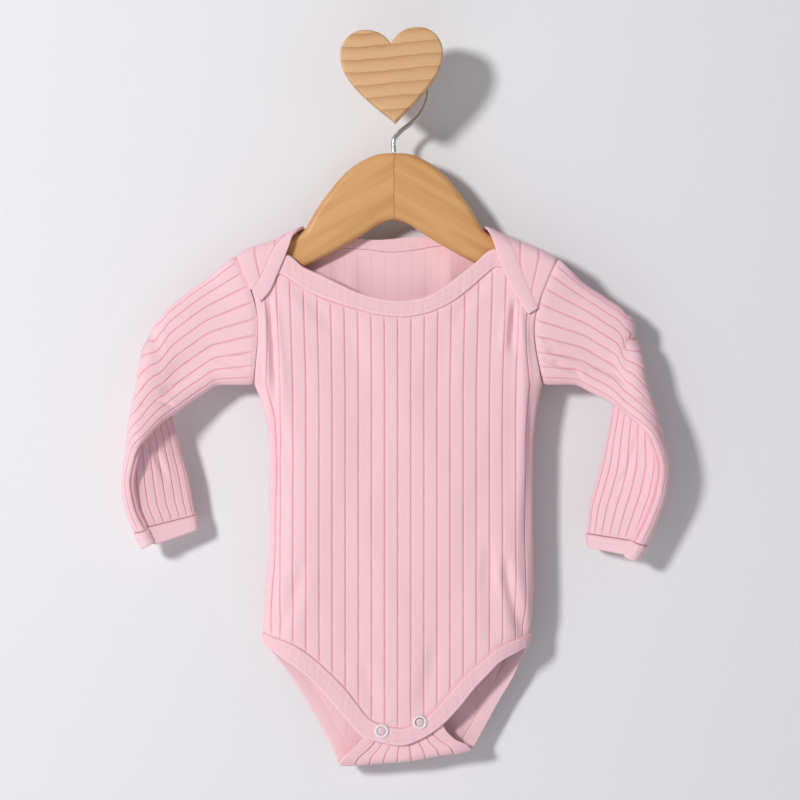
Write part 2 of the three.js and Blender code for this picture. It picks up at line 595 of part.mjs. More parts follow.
// Sleeves: flat tubes. Each row is one section, from the underarm seam, round `turn`, to the top fold, with
// tube's half thickness at its lower and upper side and how far its folds are rounded. The cuff starts at
// station `cuff`, past a gap given in stations.
const SLEEVES = {
  left: {
    top: ARMHOLES.left.top,
    outward: 1,
    cuff: 10,
    cuffGap: 0.09,
    stations: rows(
      "n underX underY underZ turnX turnY turnZ topX topY topZ low high round",
      [0, -93.5, -22, UNDERARM_Z, -91, -22, -165, -105.3, -22, ridge(105.3), 8.5, 8.8, 9],
      [1, -114.7, -22, -211.3, -119, -22, -176, -124.6, -22, -141.5, 7.5, 8.8, 9],
      [2, -129.3, -23.5, -218.7, -134.6, -22.5, -184, -139.8, -22, -153, 6, 8.6, 9],
      [3, -143.5, -28, -229, -150, -24, -194, -152.6, -22, -166.5, 4.6, 8, 8],
      [4, -152.7, -32, -235.3, -161, -26.5, -191, -154.5, -19.5, -183, 3.8, 5.5, 6],
      [5, -161.5, -37, -244.7, -167.6, -29.5, -213, -152.5, -17, -206, 3.8, 3.8, 4.5],
      [6, -168, -41, -253.3, -170.3, -31.5, -234, -149.5, -16, -230, 3.8, 3.8, 4.5],
      [7, -171, -40, -263, -171.8, -30, -256, -144.2, -15.5, -252, 3.8, 3.8, 4.5],
      [8, -173.6, -36, -277, -173.8, -27.5, -275, -138, -15, -273, 3.9, 3.9, 4.8],
      [9, -171.3, -32, -292.5, -172.4, -24.5, -291, -135.3, -14, -287, 4.3, 4.3, 5.2],
      [10, -164.8, -28.5, -308, -166.2, -21.5, -306.5, -133, -13.5, -298.5, 5, 5, 6],
      [11, -160, -26.5, -317, -161.3, -20, -318.5, -131.5, -13.2, -308.7, 5.4, 5.4, 6],
    ),
  },
  right: {
    top: ARMHOLES.right.top,
    outward: -1,
    cuff: 11,
    cuffGap: 0.15,
    stations: rows(
      "n underX underY underZ turnX turnY turnZ topX topY topZ low high round",
      [0, 99, -22, UNDERARM_Z, 93.5, -22, -170, 108.7, -22, ridge(108.7), 8.5, 8.8, 9],
      [1, 118.7, -22, -211, 123.7, -22, -178, 127.6, -22, -145.2, 7.5, 8.8, 9],
      [2, 132, -23.5, -216.7, 136.8, -22.5, -185, 140.6, -22, -154.2, 6, 8.6, 9],
      [3, 145.3, -28, -224, 150.2, -24, -193, 152.6, -22, -165.3, 4.6, 8, 8],
      [4, 155, -33, -232, 158.3, -26.5, -190, 151.6, -19, -183, 3.8, 5.5, 6],
      [5, 162, -38, -238, 163.6, -29.5, -210, 149.6, -17, -204, 3.8, 3.8, 4.5],
      [6, 168, -41, -246, 169, -31.5, -233, 146.6, -16, -229, 3.8, 3.8, 4.5],
      [7, 172, -40, -255, 172.8, -30, -250, 142, -15.5, -250, 3.8, 3.8, 4.5],
      [8, 175, -38, -268, 175.2, -28.5, -266, 138.7, -15, -266, 3.9, 3.9, 4.8],
      [9, 173, -34.5, -283, 173.8, -26.5, -282, 134.7, -14, -280, 4.3, 4.3, 5.2],
      [10, 167.3, -30.5, -300, 168.4, -23.5, -299, 130.7, -13.4, -296, 4.8, 4.8, 6],
      [11, 160, -27.5, -316, 161.8, -21, -315.5, 129.5, -13.2, -310.7, 5.3, 5.3, 6],
      [12, 154.4, -26, -327, 156.8, -19.5, -325.5, 130.5, -13, -320.5, 5.4, 5.4, 6],
    ),
  },
};

// Places on a sleeve's tube, by station n and by turn round it: 0 the underarm, 0.5 the top fold, front
// first.
function sleeveShape(sleeve) {
  const columns = Object.keys(sleeve.stations[0]).filter((key) => key !== "n");
  const tracks = Object.fromEntries(columns.map((key) => [key, track(sleeve.stations, "n", key)]));
  const lines = new Map();
  const sectionAt = (n) => {
    if (!lines.has(n)) {
      const corner = (name) => new THREE.Vector3(...["X", "Y", "Z"].map((axis) => tracks[name + axis](n)));
      lines.set(n, turningCurve(corner("under"), corner("turn"), corner("top")));
    }
    return lines.get(n);
  };
  return (n, round) => {
    const across = round <= 0.5 ? 2 * round : 2 - 2 * round;
    const line = sectionAt(n);
    const centre = line.getPointAt(across);
    const step = 0.02;
    const before = sectionAt(Math.max(n - step, 0)).getPointAt(across);
    const along = sectionAt(n + step).getPointAt(across).sub(before);
    const normal = line.getTangentAt(across).cross(along).normalize().multiplyScalar(sleeve.outward);
    const settled = smooth(0, 0.6, n);
    normal.lerp(new THREE.Vector3(0, -1, 0), 1 - settled).normalize();
    const width = line.getLength();
    const fromUnder = across * width;
    const fromTop = width - fromUnder;
    const underRound = tracks.round(n) + 5 * (1 - smooth(0, 2, n));
    const turned = rise(fromUnder, underRound, 2) * rise(fromTop, tracks.round(n), 3);
    const full = mix(tracks.low(n), tracks.high(n), smooth(0.25, 0.55, across)) * turned;
    const front = round <= 0.5;
    const layer = front ? mix(CHEST_FRONT, FLAP_FRONT, smooth(-172, -150, centre.z)) : SHOULDER_BACK;
    const ridgeTurn = rise(ridge(sleeve.top) - centre.z, RIDGE, 3);
    const atBody = edgeDepth(centre.z, layer) * ridgeTurn;
    const half = mix(atBody, full, smooth(0, 1, n));
    return centre.addScaledVector(normal, front ? half : -half);
  };
}

// Grooves on each half of a tube, as shares of its width: closer at the two folds.
const TUBE_GROOVES = [0, 0.05, 0.14, 0.25, 0.375, 0.5, 0.625, 0.75, 0.86, 0.95, 1];
const TUBE_COLUMNS = 2 * (TUBE_GROOVES.length - 1);
function aroundTube(column, share) {
  const half = TUBE_GROOVES.length - 1;
  const place = (c) => Math.floor(c / half) + TUBE_GROOVES[c % half];
  return mix(place(column), column + 1 === TUBE_COLUMNS ? 2 : place(column + 1), share) / 2;
}
const SLEEVE_STEPS = 13;
const CUFF_STEPS = 2;
const ARMHOLE_GAP = 0.035; // in stations
for (const [name, sleeve] of Object.entries(SLEEVES)) {
  const place = sleeveShape(sleeve);
  const tube = (from, to, steps) => {
    const around = (i) => aroundTube(Math.floor(i / 3) % TUBE_COLUMNS, RIB_SHOULDERS[i % 3]);
    return clothWall({
      columns: TUBE_COLUMNS,
      steps,
      around: true,
      outward: sleeve.outward,
      point: (i, j) => place(mix(from, to, j / steps), around(i)),
    });
  };
  piece("sleeve_" + name, tube(ARMHOLE_GAP, sleeve.cuff, SLEEVE_STEPS), knit());
  piece("cuff_" + name, tube(sleeve.cuff + sleeve.cuffGap, sleeve.cuff + 1, CUFF_STEPS), bindingKnit());
}

// Snaps on the flap's binding: a ring and its centre
const SNAPS = rows("name x z", ["left", -8.1, -441.3], ["right", 17.2, -435.5]);
const snapProfile = (...points) => points.map(([r, y]) => new THREE.Vector2(r, y));
const RING_PROFILE = snapProfile(
  [3, 0], [SNAP_RADIUS, 0], [SNAP_RADIUS, 0.6], [4.3, 1.3], [3.5, 1.3], [3, 0.7], [3, 0],
);
const CENTRE_PROFILE = snapProfile([0, 0], [2.7, 0], [2.7, 0.5], [2, 0.9], [0, 1]);
for (const { name, x, z } of SNAPS) {
  const seat = frontPoint(x, z).y - RIB - 0.4;
  const place = (mesh) => {
    mesh.position.set(x, seat, z);
    mesh.rotation.x = Math.PI;
  };
  place(piece("snap_ring_" + name, new THREE.LatheGeometry(RING_PROFILE, 18), finish(0xf3ecec, 0.35)));
  place(piece("snap_centre_" + name, new THREE.LatheGeometry(CENTRE_PROFILE, 16), finish(0xe6d3d6, 0.3)));
}

// Hanger: the right half's outline, mirrored
const HANGER_TOP = rows(
  "x z",
  [0, -57.5], [8, -57.8], [14, -59.3], [24.7, -64.7], [33.7, -72], [42.4, -82.3], [51.3, -94.5],
  [56.5, -103.5], [60.5, -109.6], [70, -114.6], [86, -121], [97, -125.4], [105, -130.4], [118, -140.4],
  [130, -149], [137, -153.9],
);
const HANGER_TIP = rows("x z", [143.3, -160], [146, -165], [144.8, -170.3], [139.5, -172.8]);
const HANGER_FOOT = rows(
  "x z",
  [133, -171.5], [110, -159.5], [86.7, -147.3], [60, -134], [40, -123.4], [20, -111.6], [8, -104],
  [0, -101.8],
);
function hangerGeometry() {
  const right = [...HANGER_TOP, ...HANGER_TIP, ...HANGER_FOOT].map((p) => new THREE.Vector3(p.x, p.z, 0));
  const curve = new THREE.CatmullRomCurve3(right, false, "centripetal");
  const half = curve.getPoints(42).map((p) => new THREE.Vector2(p.x, p.y));
  const left = half.slice(1, -1).reverse().map((p) => new THREE.Vector2(-p.x, p.y));
  const outline = new THREE.Shape([...half, ...left]);
  const geometry = new THREE.ExtrudeGeometry(outline, {
    depth: HANGER_THICK - 2 * HANGER_ROUND,
    bevelSize: HANGER_ROUND,
    bevelThickness: HANGER_ROUND,
    bevelOffset: -HANGER_ROUND,
    bevelSegments: 2,
    curveSegments: 1,
  });
  return geometry.rotateX(Math.PI / 2).translate(0, -MIDDLE + HANGER_THICK / 2 - HANGER_ROUND, 0);
}
piece("hanger", hangerGeometry(), finish(0xd9a873, 0.5));

// Hook: a neck out of the hanger, then round over the peg
const HOOK_CENTRE = { x: 1, z: DOWEL_RADIUS + 0.35 + HOOK_WIRE / 2 - HOOK_RADIUS };
const HOOK_NECK = rows(
  "x z",
  [0, -57.1], [-0.2, -49], [3.8, -43.3], [11.3, -37.3], [17.7, -30.3], [21.4, -22.8],
);
function hookGeometry() {
  const neck = HOOK_NECK.map((p) => new THREE.Vector3(p.x, -MIDDLE, p.z));
  const bend = Array.from({ length: 15 }, (_, i) => {
    const angle = THREE.MathUtils.degToRad(-8 + (193 * i) / 14);
    const [x, z] = [Math.cos(angle), Math.sin(angle)].map((c) => c * HOOK_RADIUS);
    return new THREE.Vector3(HOOK_CENTRE.x + x, -MIDDLE, HOOK_CENTRE.z + z);
  });
  const path = new THREE.CatmullRomCurve3([...neck, ...bend], false, "centripetal");
  const section = new THREE.Shape().absarc(0, 0, HOOK_WIRE / 2, 0, 2 * Math.PI);
  return new THREE.ExtrudeGeometry(section, { extrudePath: path, steps: 40, curveSegments: 5 });
}
piece("hanger_hook", hookGeometry(), finish(0xc9c9cc, 0.2, 1));

// Peg: a dowel out of the wall and a heart-shaped plate on its end
const dowelLength = HEART_BACK - SEAM_GAP;
const dowelGeometry = new THREE.CylinderGeometry(DOWEL_RADIUS, DOWEL_RADIUS, dowelLength, 32);
const dowel = piece("peg_dowel", dowelGeometry, finish(0xdcb27c, 0.55));
dowel.position.y = -dowelLength / 2;

function heartGeometry() {
  const heart = new THREE.Shape();
  heart.moveTo(0, 16.2);
  heart.bezierCurveTo(3.4, 22, 9.7, 26, 17, 26);
  heart.bezierCurveTo(26.8, 26, 33.7, 18.6, 33.7, 9.1);
  heart.bezierCurveTo(33.7, -5.7, 17.5, -19.6, 0, -35.3);
  heart.bezierCurveTo(-17.5, -19.6, -33.7, -5.7, -33.7, 9.1);
  heart.bezierCurveTo(-33.7, 18.6, -26.8, 26, -17, 26);
  heart.bezierCurveTo(-9.7, 26, -3.4, 22, 0, 16.2);
  const round = 1.6;
  const geometry = new THREE.ExtrudeGeometry(heart, {
    depth: HEART_THICK - 2 * round,
    bevelSize: round,
    bevelThickness: round,
    bevelOffset: -round,
    bevelSegments: 2,
    curveSegments: 9,
  });
  return geometry.rotateX(Math.PI / 2).translate(0, -HEART_BACK - round, 0);
}
const heart = piece("peg_heart", heartGeometry(), finish(0xd9ab74, 0.55));
heart.position.set(HEART_PLACE.x, 0, HEART_PLACE.z);
heart.rotation.y = -THREE.MathUtils.degToRad(HEART_TILT);

export default group;
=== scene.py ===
"""Looks of a ribbed baby bodysuit, its hanger and its peg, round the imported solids.

Shapes are worked out in millimetres, in the frame of the solids, and become metres in make_mesh.
"""

import math

import bmesh
import bpy
import numpy as np
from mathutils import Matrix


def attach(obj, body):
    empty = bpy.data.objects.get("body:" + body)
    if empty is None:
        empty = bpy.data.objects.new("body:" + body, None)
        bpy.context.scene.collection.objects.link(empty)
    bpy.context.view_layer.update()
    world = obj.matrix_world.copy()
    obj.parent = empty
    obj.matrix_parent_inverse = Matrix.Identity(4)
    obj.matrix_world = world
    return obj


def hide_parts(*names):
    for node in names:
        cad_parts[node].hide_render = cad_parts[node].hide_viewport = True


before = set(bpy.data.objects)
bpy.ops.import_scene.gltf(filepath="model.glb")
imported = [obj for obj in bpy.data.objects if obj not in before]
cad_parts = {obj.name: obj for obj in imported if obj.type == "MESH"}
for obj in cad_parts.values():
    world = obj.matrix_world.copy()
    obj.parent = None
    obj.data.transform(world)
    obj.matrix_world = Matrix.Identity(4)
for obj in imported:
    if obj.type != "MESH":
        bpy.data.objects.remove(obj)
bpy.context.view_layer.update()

# Sizes, as in the part's source
MIDDLE = 22.0
RIB = 0.6
RIB_PITCH = 8.67
RIB_ORIGIN = 2.7
PANEL_GROOVES = 9
PANEL_COLUMNS = 2 * PANEL_GROOVES + 4
RIDGE = 9.0
SIDE_TURN = 26.0
FLAP_FRONT = 11.3
CHEST_FRONT = 9.0
SHOULDER_BACK = 8.2
FOLD = 5.0
FOLD_PATH = 8.0
TAB_FRONT = 6.2
UNDERARM_Z = -211.5
UNDERARM_TURN = 14.0
HANGER_THICK = 11.0
HANGER_ROUND = 4.2
HOOK_WIRE = 3.3
HOOK_RADIUS = 21.7
DOWEL_RADIUS = 6.0
HEART_BACK = 36.0
HEART_THICK = 16.0
HEART_ROUND = 1.6
HEART_TILT = math.radians(3.2)
HEART_PLACE = (-1, -4.6)

# Sizes of what only shows here
GROOVE_WIDTH = 0.5  # from a groove's middle to where its rib is 63% up
SHELL_CLOTH = 1.0  # from a groove's bottom to the plain inside
BINDING_RISE = 1.25  # a binding's face over its panel's grooves
STITCH = 2.3  # one stitch of a binding's seam
MM = 0.001


# Curves and small helpers
def track(*rows):
    """A smooth function through (x, y) rows, held level past both ends."""
    xs, ys = np.array(rows, float).T
    slopes = np.diff(ys) / np.diff(xs)
    a, b = slopes[:-1], slopes[1:]
    inner = np.where(a * b > 0, 2 * a * b / np.where(a + b == 0, 1, a + b), 0)
    tangents = np.concatenate([slopes[:1], inner, slopes[-1:]])

    def at(x):
        x = np.clip(x, xs[0], xs[-1])
        i = np.clip(np.searchsorted(xs, x, side="right") - 1, 0, len(xs) - 2)
        h = xs[i + 1] - xs[i]
        t = (x - xs[i]) / h
        up = (3 - 2 * t) * t * t
        leave = ((t - 2) * t + 1) * t * h * tangents[i]
        arrive = (t - 1) * t * t * h * tangents[i + 1]
        return ys[i] * (1 - up) + ys[i + 1] * up + leave + arrive

    return at


def smooth(a, b, x):
    t = np.clip((x - a) / (b - a), 0, 1)
    return t * t * (3 - 2 * t)


def mix(a, b, t):
    return a + (b - a) * t


def rise(distance, reach, power):
    """A rounded edge: 0 at the edge, 1 at reach from it and beyond."""
    left = 1 - np.clip(distance / reach, 0, 1)
    return (1 - left**power) ** (1 / power)


def unit(v):
    return v / np.maximum(np.linalg.norm(v, axis=-1, keepdims=True), 1e-9)


def points(x, y, z):
    return np.stack(np.broadcast_arrays(x, y, z), -1).astype(float)


def smooth_line(rows, count, closed=False):
    """count points on a smooth curve through the rows."""
    p = np.array(rows, float)
    if closed:
        p = np.concatenate([p, p[:1]])
    t = np.concatenate([[0], np.cumsum(np.linalg.norm(np.diff(p, axis=0), axis=1) ** 0.5)])
    slopes = np.diff(p, axis=0) / np.diff(t)[:, None]
    first, last = slopes[:1], slopes[-1:]
    if closed:
        first = last = (first + last) / 2
    tangents = np.concatenate([first, (slopes[:-1] + slopes[1:]) / 2, last])
    at = np.linspace(0, t[-1], count, endpoint=not closed)
    i = np.clip(np.searchsorted(t, at, side="right") - 1, 0, len(t) - 2)
    h = (t[i + 1] - t[i])[:, None]
    s = (at - t[i])[:, None] / h
    up = (3 - 2 * s) * s * s
    bend = (s - 1) ** 2 * s * h * tangents[i] + (s - 1) * s * s * h * tangents[i + 1]
    return p[i] * (1 - up) + p[i + 1] * up + bend


# The body's outline
side = {
    "left": track(
        (-400, -84), (-385, -86), (-376.7, -87.3), (-346, -86), (-325, -83.8), (-290, -83.3),
        (-258, -83.3), (-237, -85), (-222.7, -88.9), (UNDERARM_Z, -93.5),
    ),
    "right": track(
        (-400, 87.5), (-385, 89.5), (-376.7, 90.9), (-346, 93.3), (-330, 93), (-298.7, 92.6),
        (-250, 93.1), (-234, 94.6), (-222.7, 96.6), (UNDERARM_Z, 99),
    ),
}
ridge_track = track(
    (0, -78), (45, -97), (61, -106.8), (70, -110.8), (79, -115.2), (97, -121.5), (105, -126), (110, -128.6),
)
crown = {
    "front": track(
        (-464, 8.4), (-445, 8.9), (-425, 9.4), (-400, 10.8), (-370, 12.2), (-300, 12.8),
        (-240, 12), (-210, 11), (-180, 9.9), (-165, 9.2), (-150, 9), (-110, 9),
    ),
    "back": track(
        (-464, 6), (-445, 6.2), (-425, 6.8), (-400, 7.8), (-370, 8.8), (-300, 9.3),
        (-240, 9), (-210, 8.7), (-180, 8.4), (-165, 8.2), (-150, 8.2), (-110, 8.2),
    ),
}
neck_seam = track(
    (-101, -147.5), (-92, -142), (-84, -139), (-76.7, -138.8), (-63.3, -146.7), (-52.7, -152.7),
    (-40.7, -157.3), (-23.6, -162.5), (-10, -166), (5.3, -167.3), (20.7, -165), (36, -158.7),
    (46.7, -151.3), (59, -140.7), (68.7, -134), (76, -135), (86, -139), (95, -144), (106, -150),
)
neck_edge = track(
    (-101, -139), (-92, -132.8), (-84, -128.4), (-78, -126), (-71.3, -125.6), (-59.6, -134), (-48, -139),
    (-37.3, -144.3), (-23.6, -150.5), (-10, -154.3), (4, -155.8), (17.7, -154.3), (31.3, -148), (43.7, -139),
    (52.7, -132), (66.7, -121.8), (72, -124.5), (80, -130.3), (92, -136.4), (106, -143.5),
)
front_leg_seam = track(
    (-87.5, -376.3), (-81.3, -378.4), (-67.3, -383.3), (-52, -393.7), (-41.7, -403.3), (-32, -413.3),
    (-24, -423.7), (-16.7, -432.7), (-9.3, -436.7), (-1.3, -438.8), (5.3, -439.3), (12, -437.4),
    (22.3, -431.8), (34, -419.3), (48.7, -402.7), (63.3, -390.7), (70.7, -384.7), (80.4, -380.7),
    (91, -376.5),
)
front_leg_edge = track(
    (-87, -385.2), (-79, -389.5), (-73.3, -393.7), (-66, -398.7), (-56.7, -406), (-38.7, -426),
    (-28.7, -437.3), (-20.7, -445.6), (-10.7, -448.9), (4.7, -451.3), (17.3, -447.3), (30.7, -438.7),
    (45.3, -423.7), (52.7, -414), (62, -404), (70.7, -395.3), (81.7, -389.3), (90, -385.2),
)
back_neck_seam = track(
    (-70, -119.8), (-55, -120), (-35, -120.5), (-17.3, -121.6), (-2, -123.3), (13.3, -122), (27.7, -119.4),
    (45, -118.2), (60, -119.5), (75, -122),
)
back_leg_seam = track(
    (-87.5, -376.3), (-78, -383.6), (-69, -391.6), (-62.5, -400.3), (-56, -410.5), (-48.9, -422),
    (-41.1, -435.7), (-34, -448.5), (-28.5, -459), (43, -451.4), (48.7, -443.3), (55.3, -431.3), (62.7, -418),
    (71.3, -403.3), (78, -388.6), (84, -382.4), (91, -376.5),
)
fold_bottom = track(
    (-45, -464), (-24, -464.7), (-12, -464.2), (11.3, -462), (35.3, -458), (52, -454.3), (60, -452),
)
# The tab's seams, by the path from the fold's bottom: less than 0 behind it, more in front
tab_seam = {
    "left": track(
        (-8, -28.5), (-3, -27), (0, -26.3), (3, -25.5), (8, -23.5), (13, -17.5), (20.5, -11), (28, -7.5),
    ),
    "right": track(
        (-8, 43), (-3, 41), (0, 40), (3, 39.5), (8, 37.5), (13, 31.5), (20.5, 25), (28, 21.5),
    ),
}
flap_seam = {
    "left": track(
        (-97, -151), (-90.5, -144), (-85.9, -135.4), (-81.3, -124.4), (-78.5, -119.4), (-75, -115.2),
        (-71.5, -111.6), (-69, -110.5),
    ),
    "right": track(
        (74.5, -113.1), (75.6, -114.3), (76.4, -115.8), (79, -121.3), (81.7, -129.3), (87, -142),
        (94.7, -160), (97, -165),
    ),
}


def ridge(x):
    return ridge_track(np.abs(x))


def turning_curve(a, turn, b, t):
    """A curve from a to b through turn at its middle, at each t."""
    a, turn, b = (np.array(v, float) for v in (a, turn, b))
    pull = (8 * turn - a - b) / 6
    t = t[:, None]
    return (1 - t) ** 3 * a + 3 * t * (1 - t) * pull + t**3 * b


def armhole_track(under, turn, top):
    seam = turning_curve(under, turn, (top, ridge(top)), np.linspace(0, 1, 25))
    return track(*[(z, x) for x, z in seam])


armhole = {
    "left": armhole_track((-93.5, UNDERARM_Z), (-91, -165), -105.3),
    "right": armhole_track((99, UNDERARM_Z), (93.5, -170), 108.7),
}


def body_edge(which, z):
    return np.where(z < UNDERARM_Z, side[which](z), armhole[which](z))


def edge_depth(z, layer):
    return 0.15 + (layer - 0.15) * rise(z - UNDERARM_Z, UNDERARM_TURN, 2)


def body_depth(x, z, face):
    layer = CHEST_FRONT if face == "front" else SHOULDER_BACK
    inset = np.minimum(x - body_edge("left", z), body_edge("right", z) - x)
    edge = edge_depth(z, layer)
    return edge + (crown[face](z) - edge) * rise(inset, SIDE_TURN, 2)


def front_point(x, z):
    return points(x, -MIDDLE - body_depth(x, z, "front"), z)


def back_point(x, z):
    return points(x, -MIDDLE + body_depth(x, z, "back") * rise(ridge(x) - z, RIDGE, 3), z)


def shoulder_point(x, turn):
    """Over the shoulder: turn is 0 at the back of the ridge, 1 on it, 2 at its front, then straight down."""
    angle = np.minimum(turn, 2) * math.pi / 2
    drop = RIDGE * (1 - np.maximum(np.sin(angle), 0) ** (2 / 3)) + np.maximum(turn - 2, 0) * RIDGE
    depth = np.where(np.cos(angle) > 0, SHOULDER_BACK, -FLAP_FRONT)
    y = -MIDDLE + depth * np.abs(np.cos(angle)) ** (2 / 3)
    return points(x, y, ridge(x) - drop)


def turn_at(x, z):
    """The turn that brings the flap down to height z on the front."""
    drop = ridge(x) - z
    near = 2 - np.arcsin(np.clip(1 - drop / RIDGE, 0, 1) ** 1.5) / (math.pi / 2)
    return np.where(drop >= RIDGE, 2 + (drop - RIDGE) / RIDGE, near)


def flap_point(x, z):
    return points(x, -MIDDLE - FLAP_FRONT * rise(ridge(x) - z, RIDGE, 3), z)


def fold_point(x, path):
    """Round the crotch fold and up the tab, by the path from the fold's bottom."""
    angle = np.clip(path / FOLD_PATH, -1, 1) * math.pi / 2
    beyond = np.maximum(np.abs(path) - FOLD_PATH, 0)
    z = fold_bottom(x) + FOLD * (1 - np.cos(angle)) + beyond
    depth = np.where(np.asarray(path) > 0, TAB_FRONT, body_depth(x, fold_bottom(x) + FOLD, "back"))
    return points(x, -MIDDLE - depth * np.sin(angle), z)


# Columns of a panel: both edges, one groove inside each, and the straight grooves between
def groove_x(column, z):
    left, right = body_edge("left", z), body_edge("right", z)
    fan = 1 + 0.04 * smooth(-230, -115, z)

    def straight(k):
        return RIB_ORIGIN + k * RIB_PITCH * fan

    x = straight(column - 2 - PANEL_GROOVES)
    x = np.where(column == 0, left, x)
    x = np.where(column == 1, (left + straight(-PANEL_GROOVES)) / 2, x)
    x = np.where(column == PANEL_COLUMNS - 1, (right + straight(PANEL_GROOVES)) / 2, x)
    return np.where(column == PANEL_COLUMNS, right, x)


def column_x(u, z):
    column = np.clip(np.floor(u), 0, PANEL_COLUMNS - 1)
    return mix(groove_x(column, z), groove_x(column + 1, z), u - column)


def settle(u, start, height_at):
    """The place on each column where its height answers height_at(x)."""
    z = np.full_like(u, start)
    for _ in range(8):
        z = height_at(column_x(u, z))
    return z


COLUMN_SHARES = np.array([0, 0.035, 0.075, 0.13, 0.22, 0.36, 0.5, 0.64, 0.78, 0.87, 0.925, 0.965])


def fine_columns(count):
    return np.append((np.arange(count)[:, None] + COLUMN_SHARES).ravel(), count)


def groove_share(u, pitch=RIB_PITCH):
    """1 in a groove, falling to 0 on the ribs beside it."""
    share = u - np.floor(u)
    away = np.minimum(share, 1 - share) * pitch
    return np.exp(-((away / GROOVE_WIDTH) ** 2))


# Creases
def creases(a, b, table):
    """How far the cloth moves out at each (a, b), for creases given as rows of
    (a and b of one end, a and b of the other, height, width, bow)."""
    moved = np.zeros(np.broadcast(a, b).shape)
    for a0, b0, a1, b1, height, width, bow in table:
        along = np.array([a1 - a0, b1 - b0], float)
        long = float(np.hypot(*along))
        ua, ub = along / long
        t = ((a - a0) * ua + (b - b0) * ub) / long
        across = (a - a0) * ub - (b - b0) * ua - bow * 4 * t * (1 - t)
        strength = smooth(-0.12, 0.22, t) * (1 - smooth(0.72, 1.12, t))
        spread = width * (0.75 + 0.5 * np.clip(t, 0, 1))
        trough = np.exp(-((across / spread) ** 2))
        shoulder = np.exp(-(((np.abs(across) - 2 * spread) / (1.1 * spread)) ** 2))
        moved += height * strength * (trough - 0.32 * shoulder)
    return moved


def unevenness(a, b, table):
    """Broad soft waves: rows of (length across, length along, height, phase)."""
    return sum(
        height * np.sin(2 * math.pi * a / across + phase + 1.3 * np.sin(2 * math.pi * b / along + phase))
        for across, along, height, phase in table
    )


# X and Z of both ends, height, width and bow, in millimetres, seen from the front
FRONT_CREASES = [
    (-82.5, -156, -78.5, -232, -3, 2.4, -1),
    (-80, -225, -77.5, -290, -1.6, 2.6, 1),
    (-88, -200, -70, -262, -1.2, 4, 2),
    (-78, -240, -78, -372, -1.1, 2.6, 1.5),
    (80, -158, 78.5, -190, -3, 2.6, 0),
    (91, -215, 88, -330, -1.2, 3, 0.5),
    (86, -165, 86.5, -300, 1.3, 4.5, 0.5),
    (74, -328, 89, -382, -2.4, 3.8, 3),
    (62, -318, 76, -372, -1, 4, 3),
    (60, -330, 70, -385, -0.9, 5, 3),
    (-60, -330, -80, -378, -1.2, 5, -3),
    (-30, -172, -14, -215, -0.5, 6, 2),
    (34, -170, 26, -222, -0.6, 7, -2),
    (-20, -395, -8, -436, -0.9, 5, 1),
    (28, -385, 16, -432, -0.8, 5, -1),
    (-70, -146, -40, -176, -0.9, 4, -3),
    (62, -143, 40, -172, -0.8, 4, 3),
]
BACK_CREASES = [
    (-80, -150, -74, -258, -2.2, 4, -2),
    (84, -158, 80, -262, -2.4, 4, 2),
    (-64, -300, -78, -372, -1.7, 5, -3),
    (70, -310, 82, -376, -1.9, 5, 3),
    (-30, -130, -12, -205, -1.3, 7, 3),
    (38, -128, 22, -214, -1.5, 7, -3),
    (-40, -352, -26, -440, -1.4, 6, 2),
    (48, -346, 34, -436, -1.3, 6, -2),
    (4, -230, 10, -330, -0.9, 9, 3),
]
BODY_WAVES = [(74, 210, 0.45, 0.4), (47, 150, 0.28, 2.1), (29, 90, 0.12, 4.2)]


# Meshes
def make_mesh(name, vertices, faces, material, slot, replaces, fields=None, sharp=55):
    """A piece from points in millimetres, riding on the part and standing for the nodes it replaces."""
    mesh = bpy.data.meshes.new(name)
    mesh.from_pydata((np.asarray(vertices) * MM).tolist(), [], faces)
    for key, values in (fields or {}).items():
        values = np.asarray(values, np.float32)
        kind = "FLOAT" if values.ndim == 1 else "FLOAT_VECTOR"
        attribute = mesh.attributes.new(key, kind, "POINT")
        attribute.data.foreach_set("value" if kind == "FLOAT" else "vector", values.ravel())
    mesh.update()
    mesh.shade_smooth()
    mesh.set_sharp_from_angle(angle=math.radians(sharp))
    mesh.materials.append(material)
    made = bpy.data.objects.new(name, mesh)
    bpy.context.scene.collection.objects.link(made)
    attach(made, "root")
    if replaces:
        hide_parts(*replaces)
    return made


def grid_normals(grid, wrap):
    if wrap:
        across = np.roll(grid, -1, axis=1) - np.roll(grid, 1, axis=1)
    else:
        across = np.gradient(grid, axis=1)
    return unit(np.cross(across, np.gradient(grid, axis=0)))


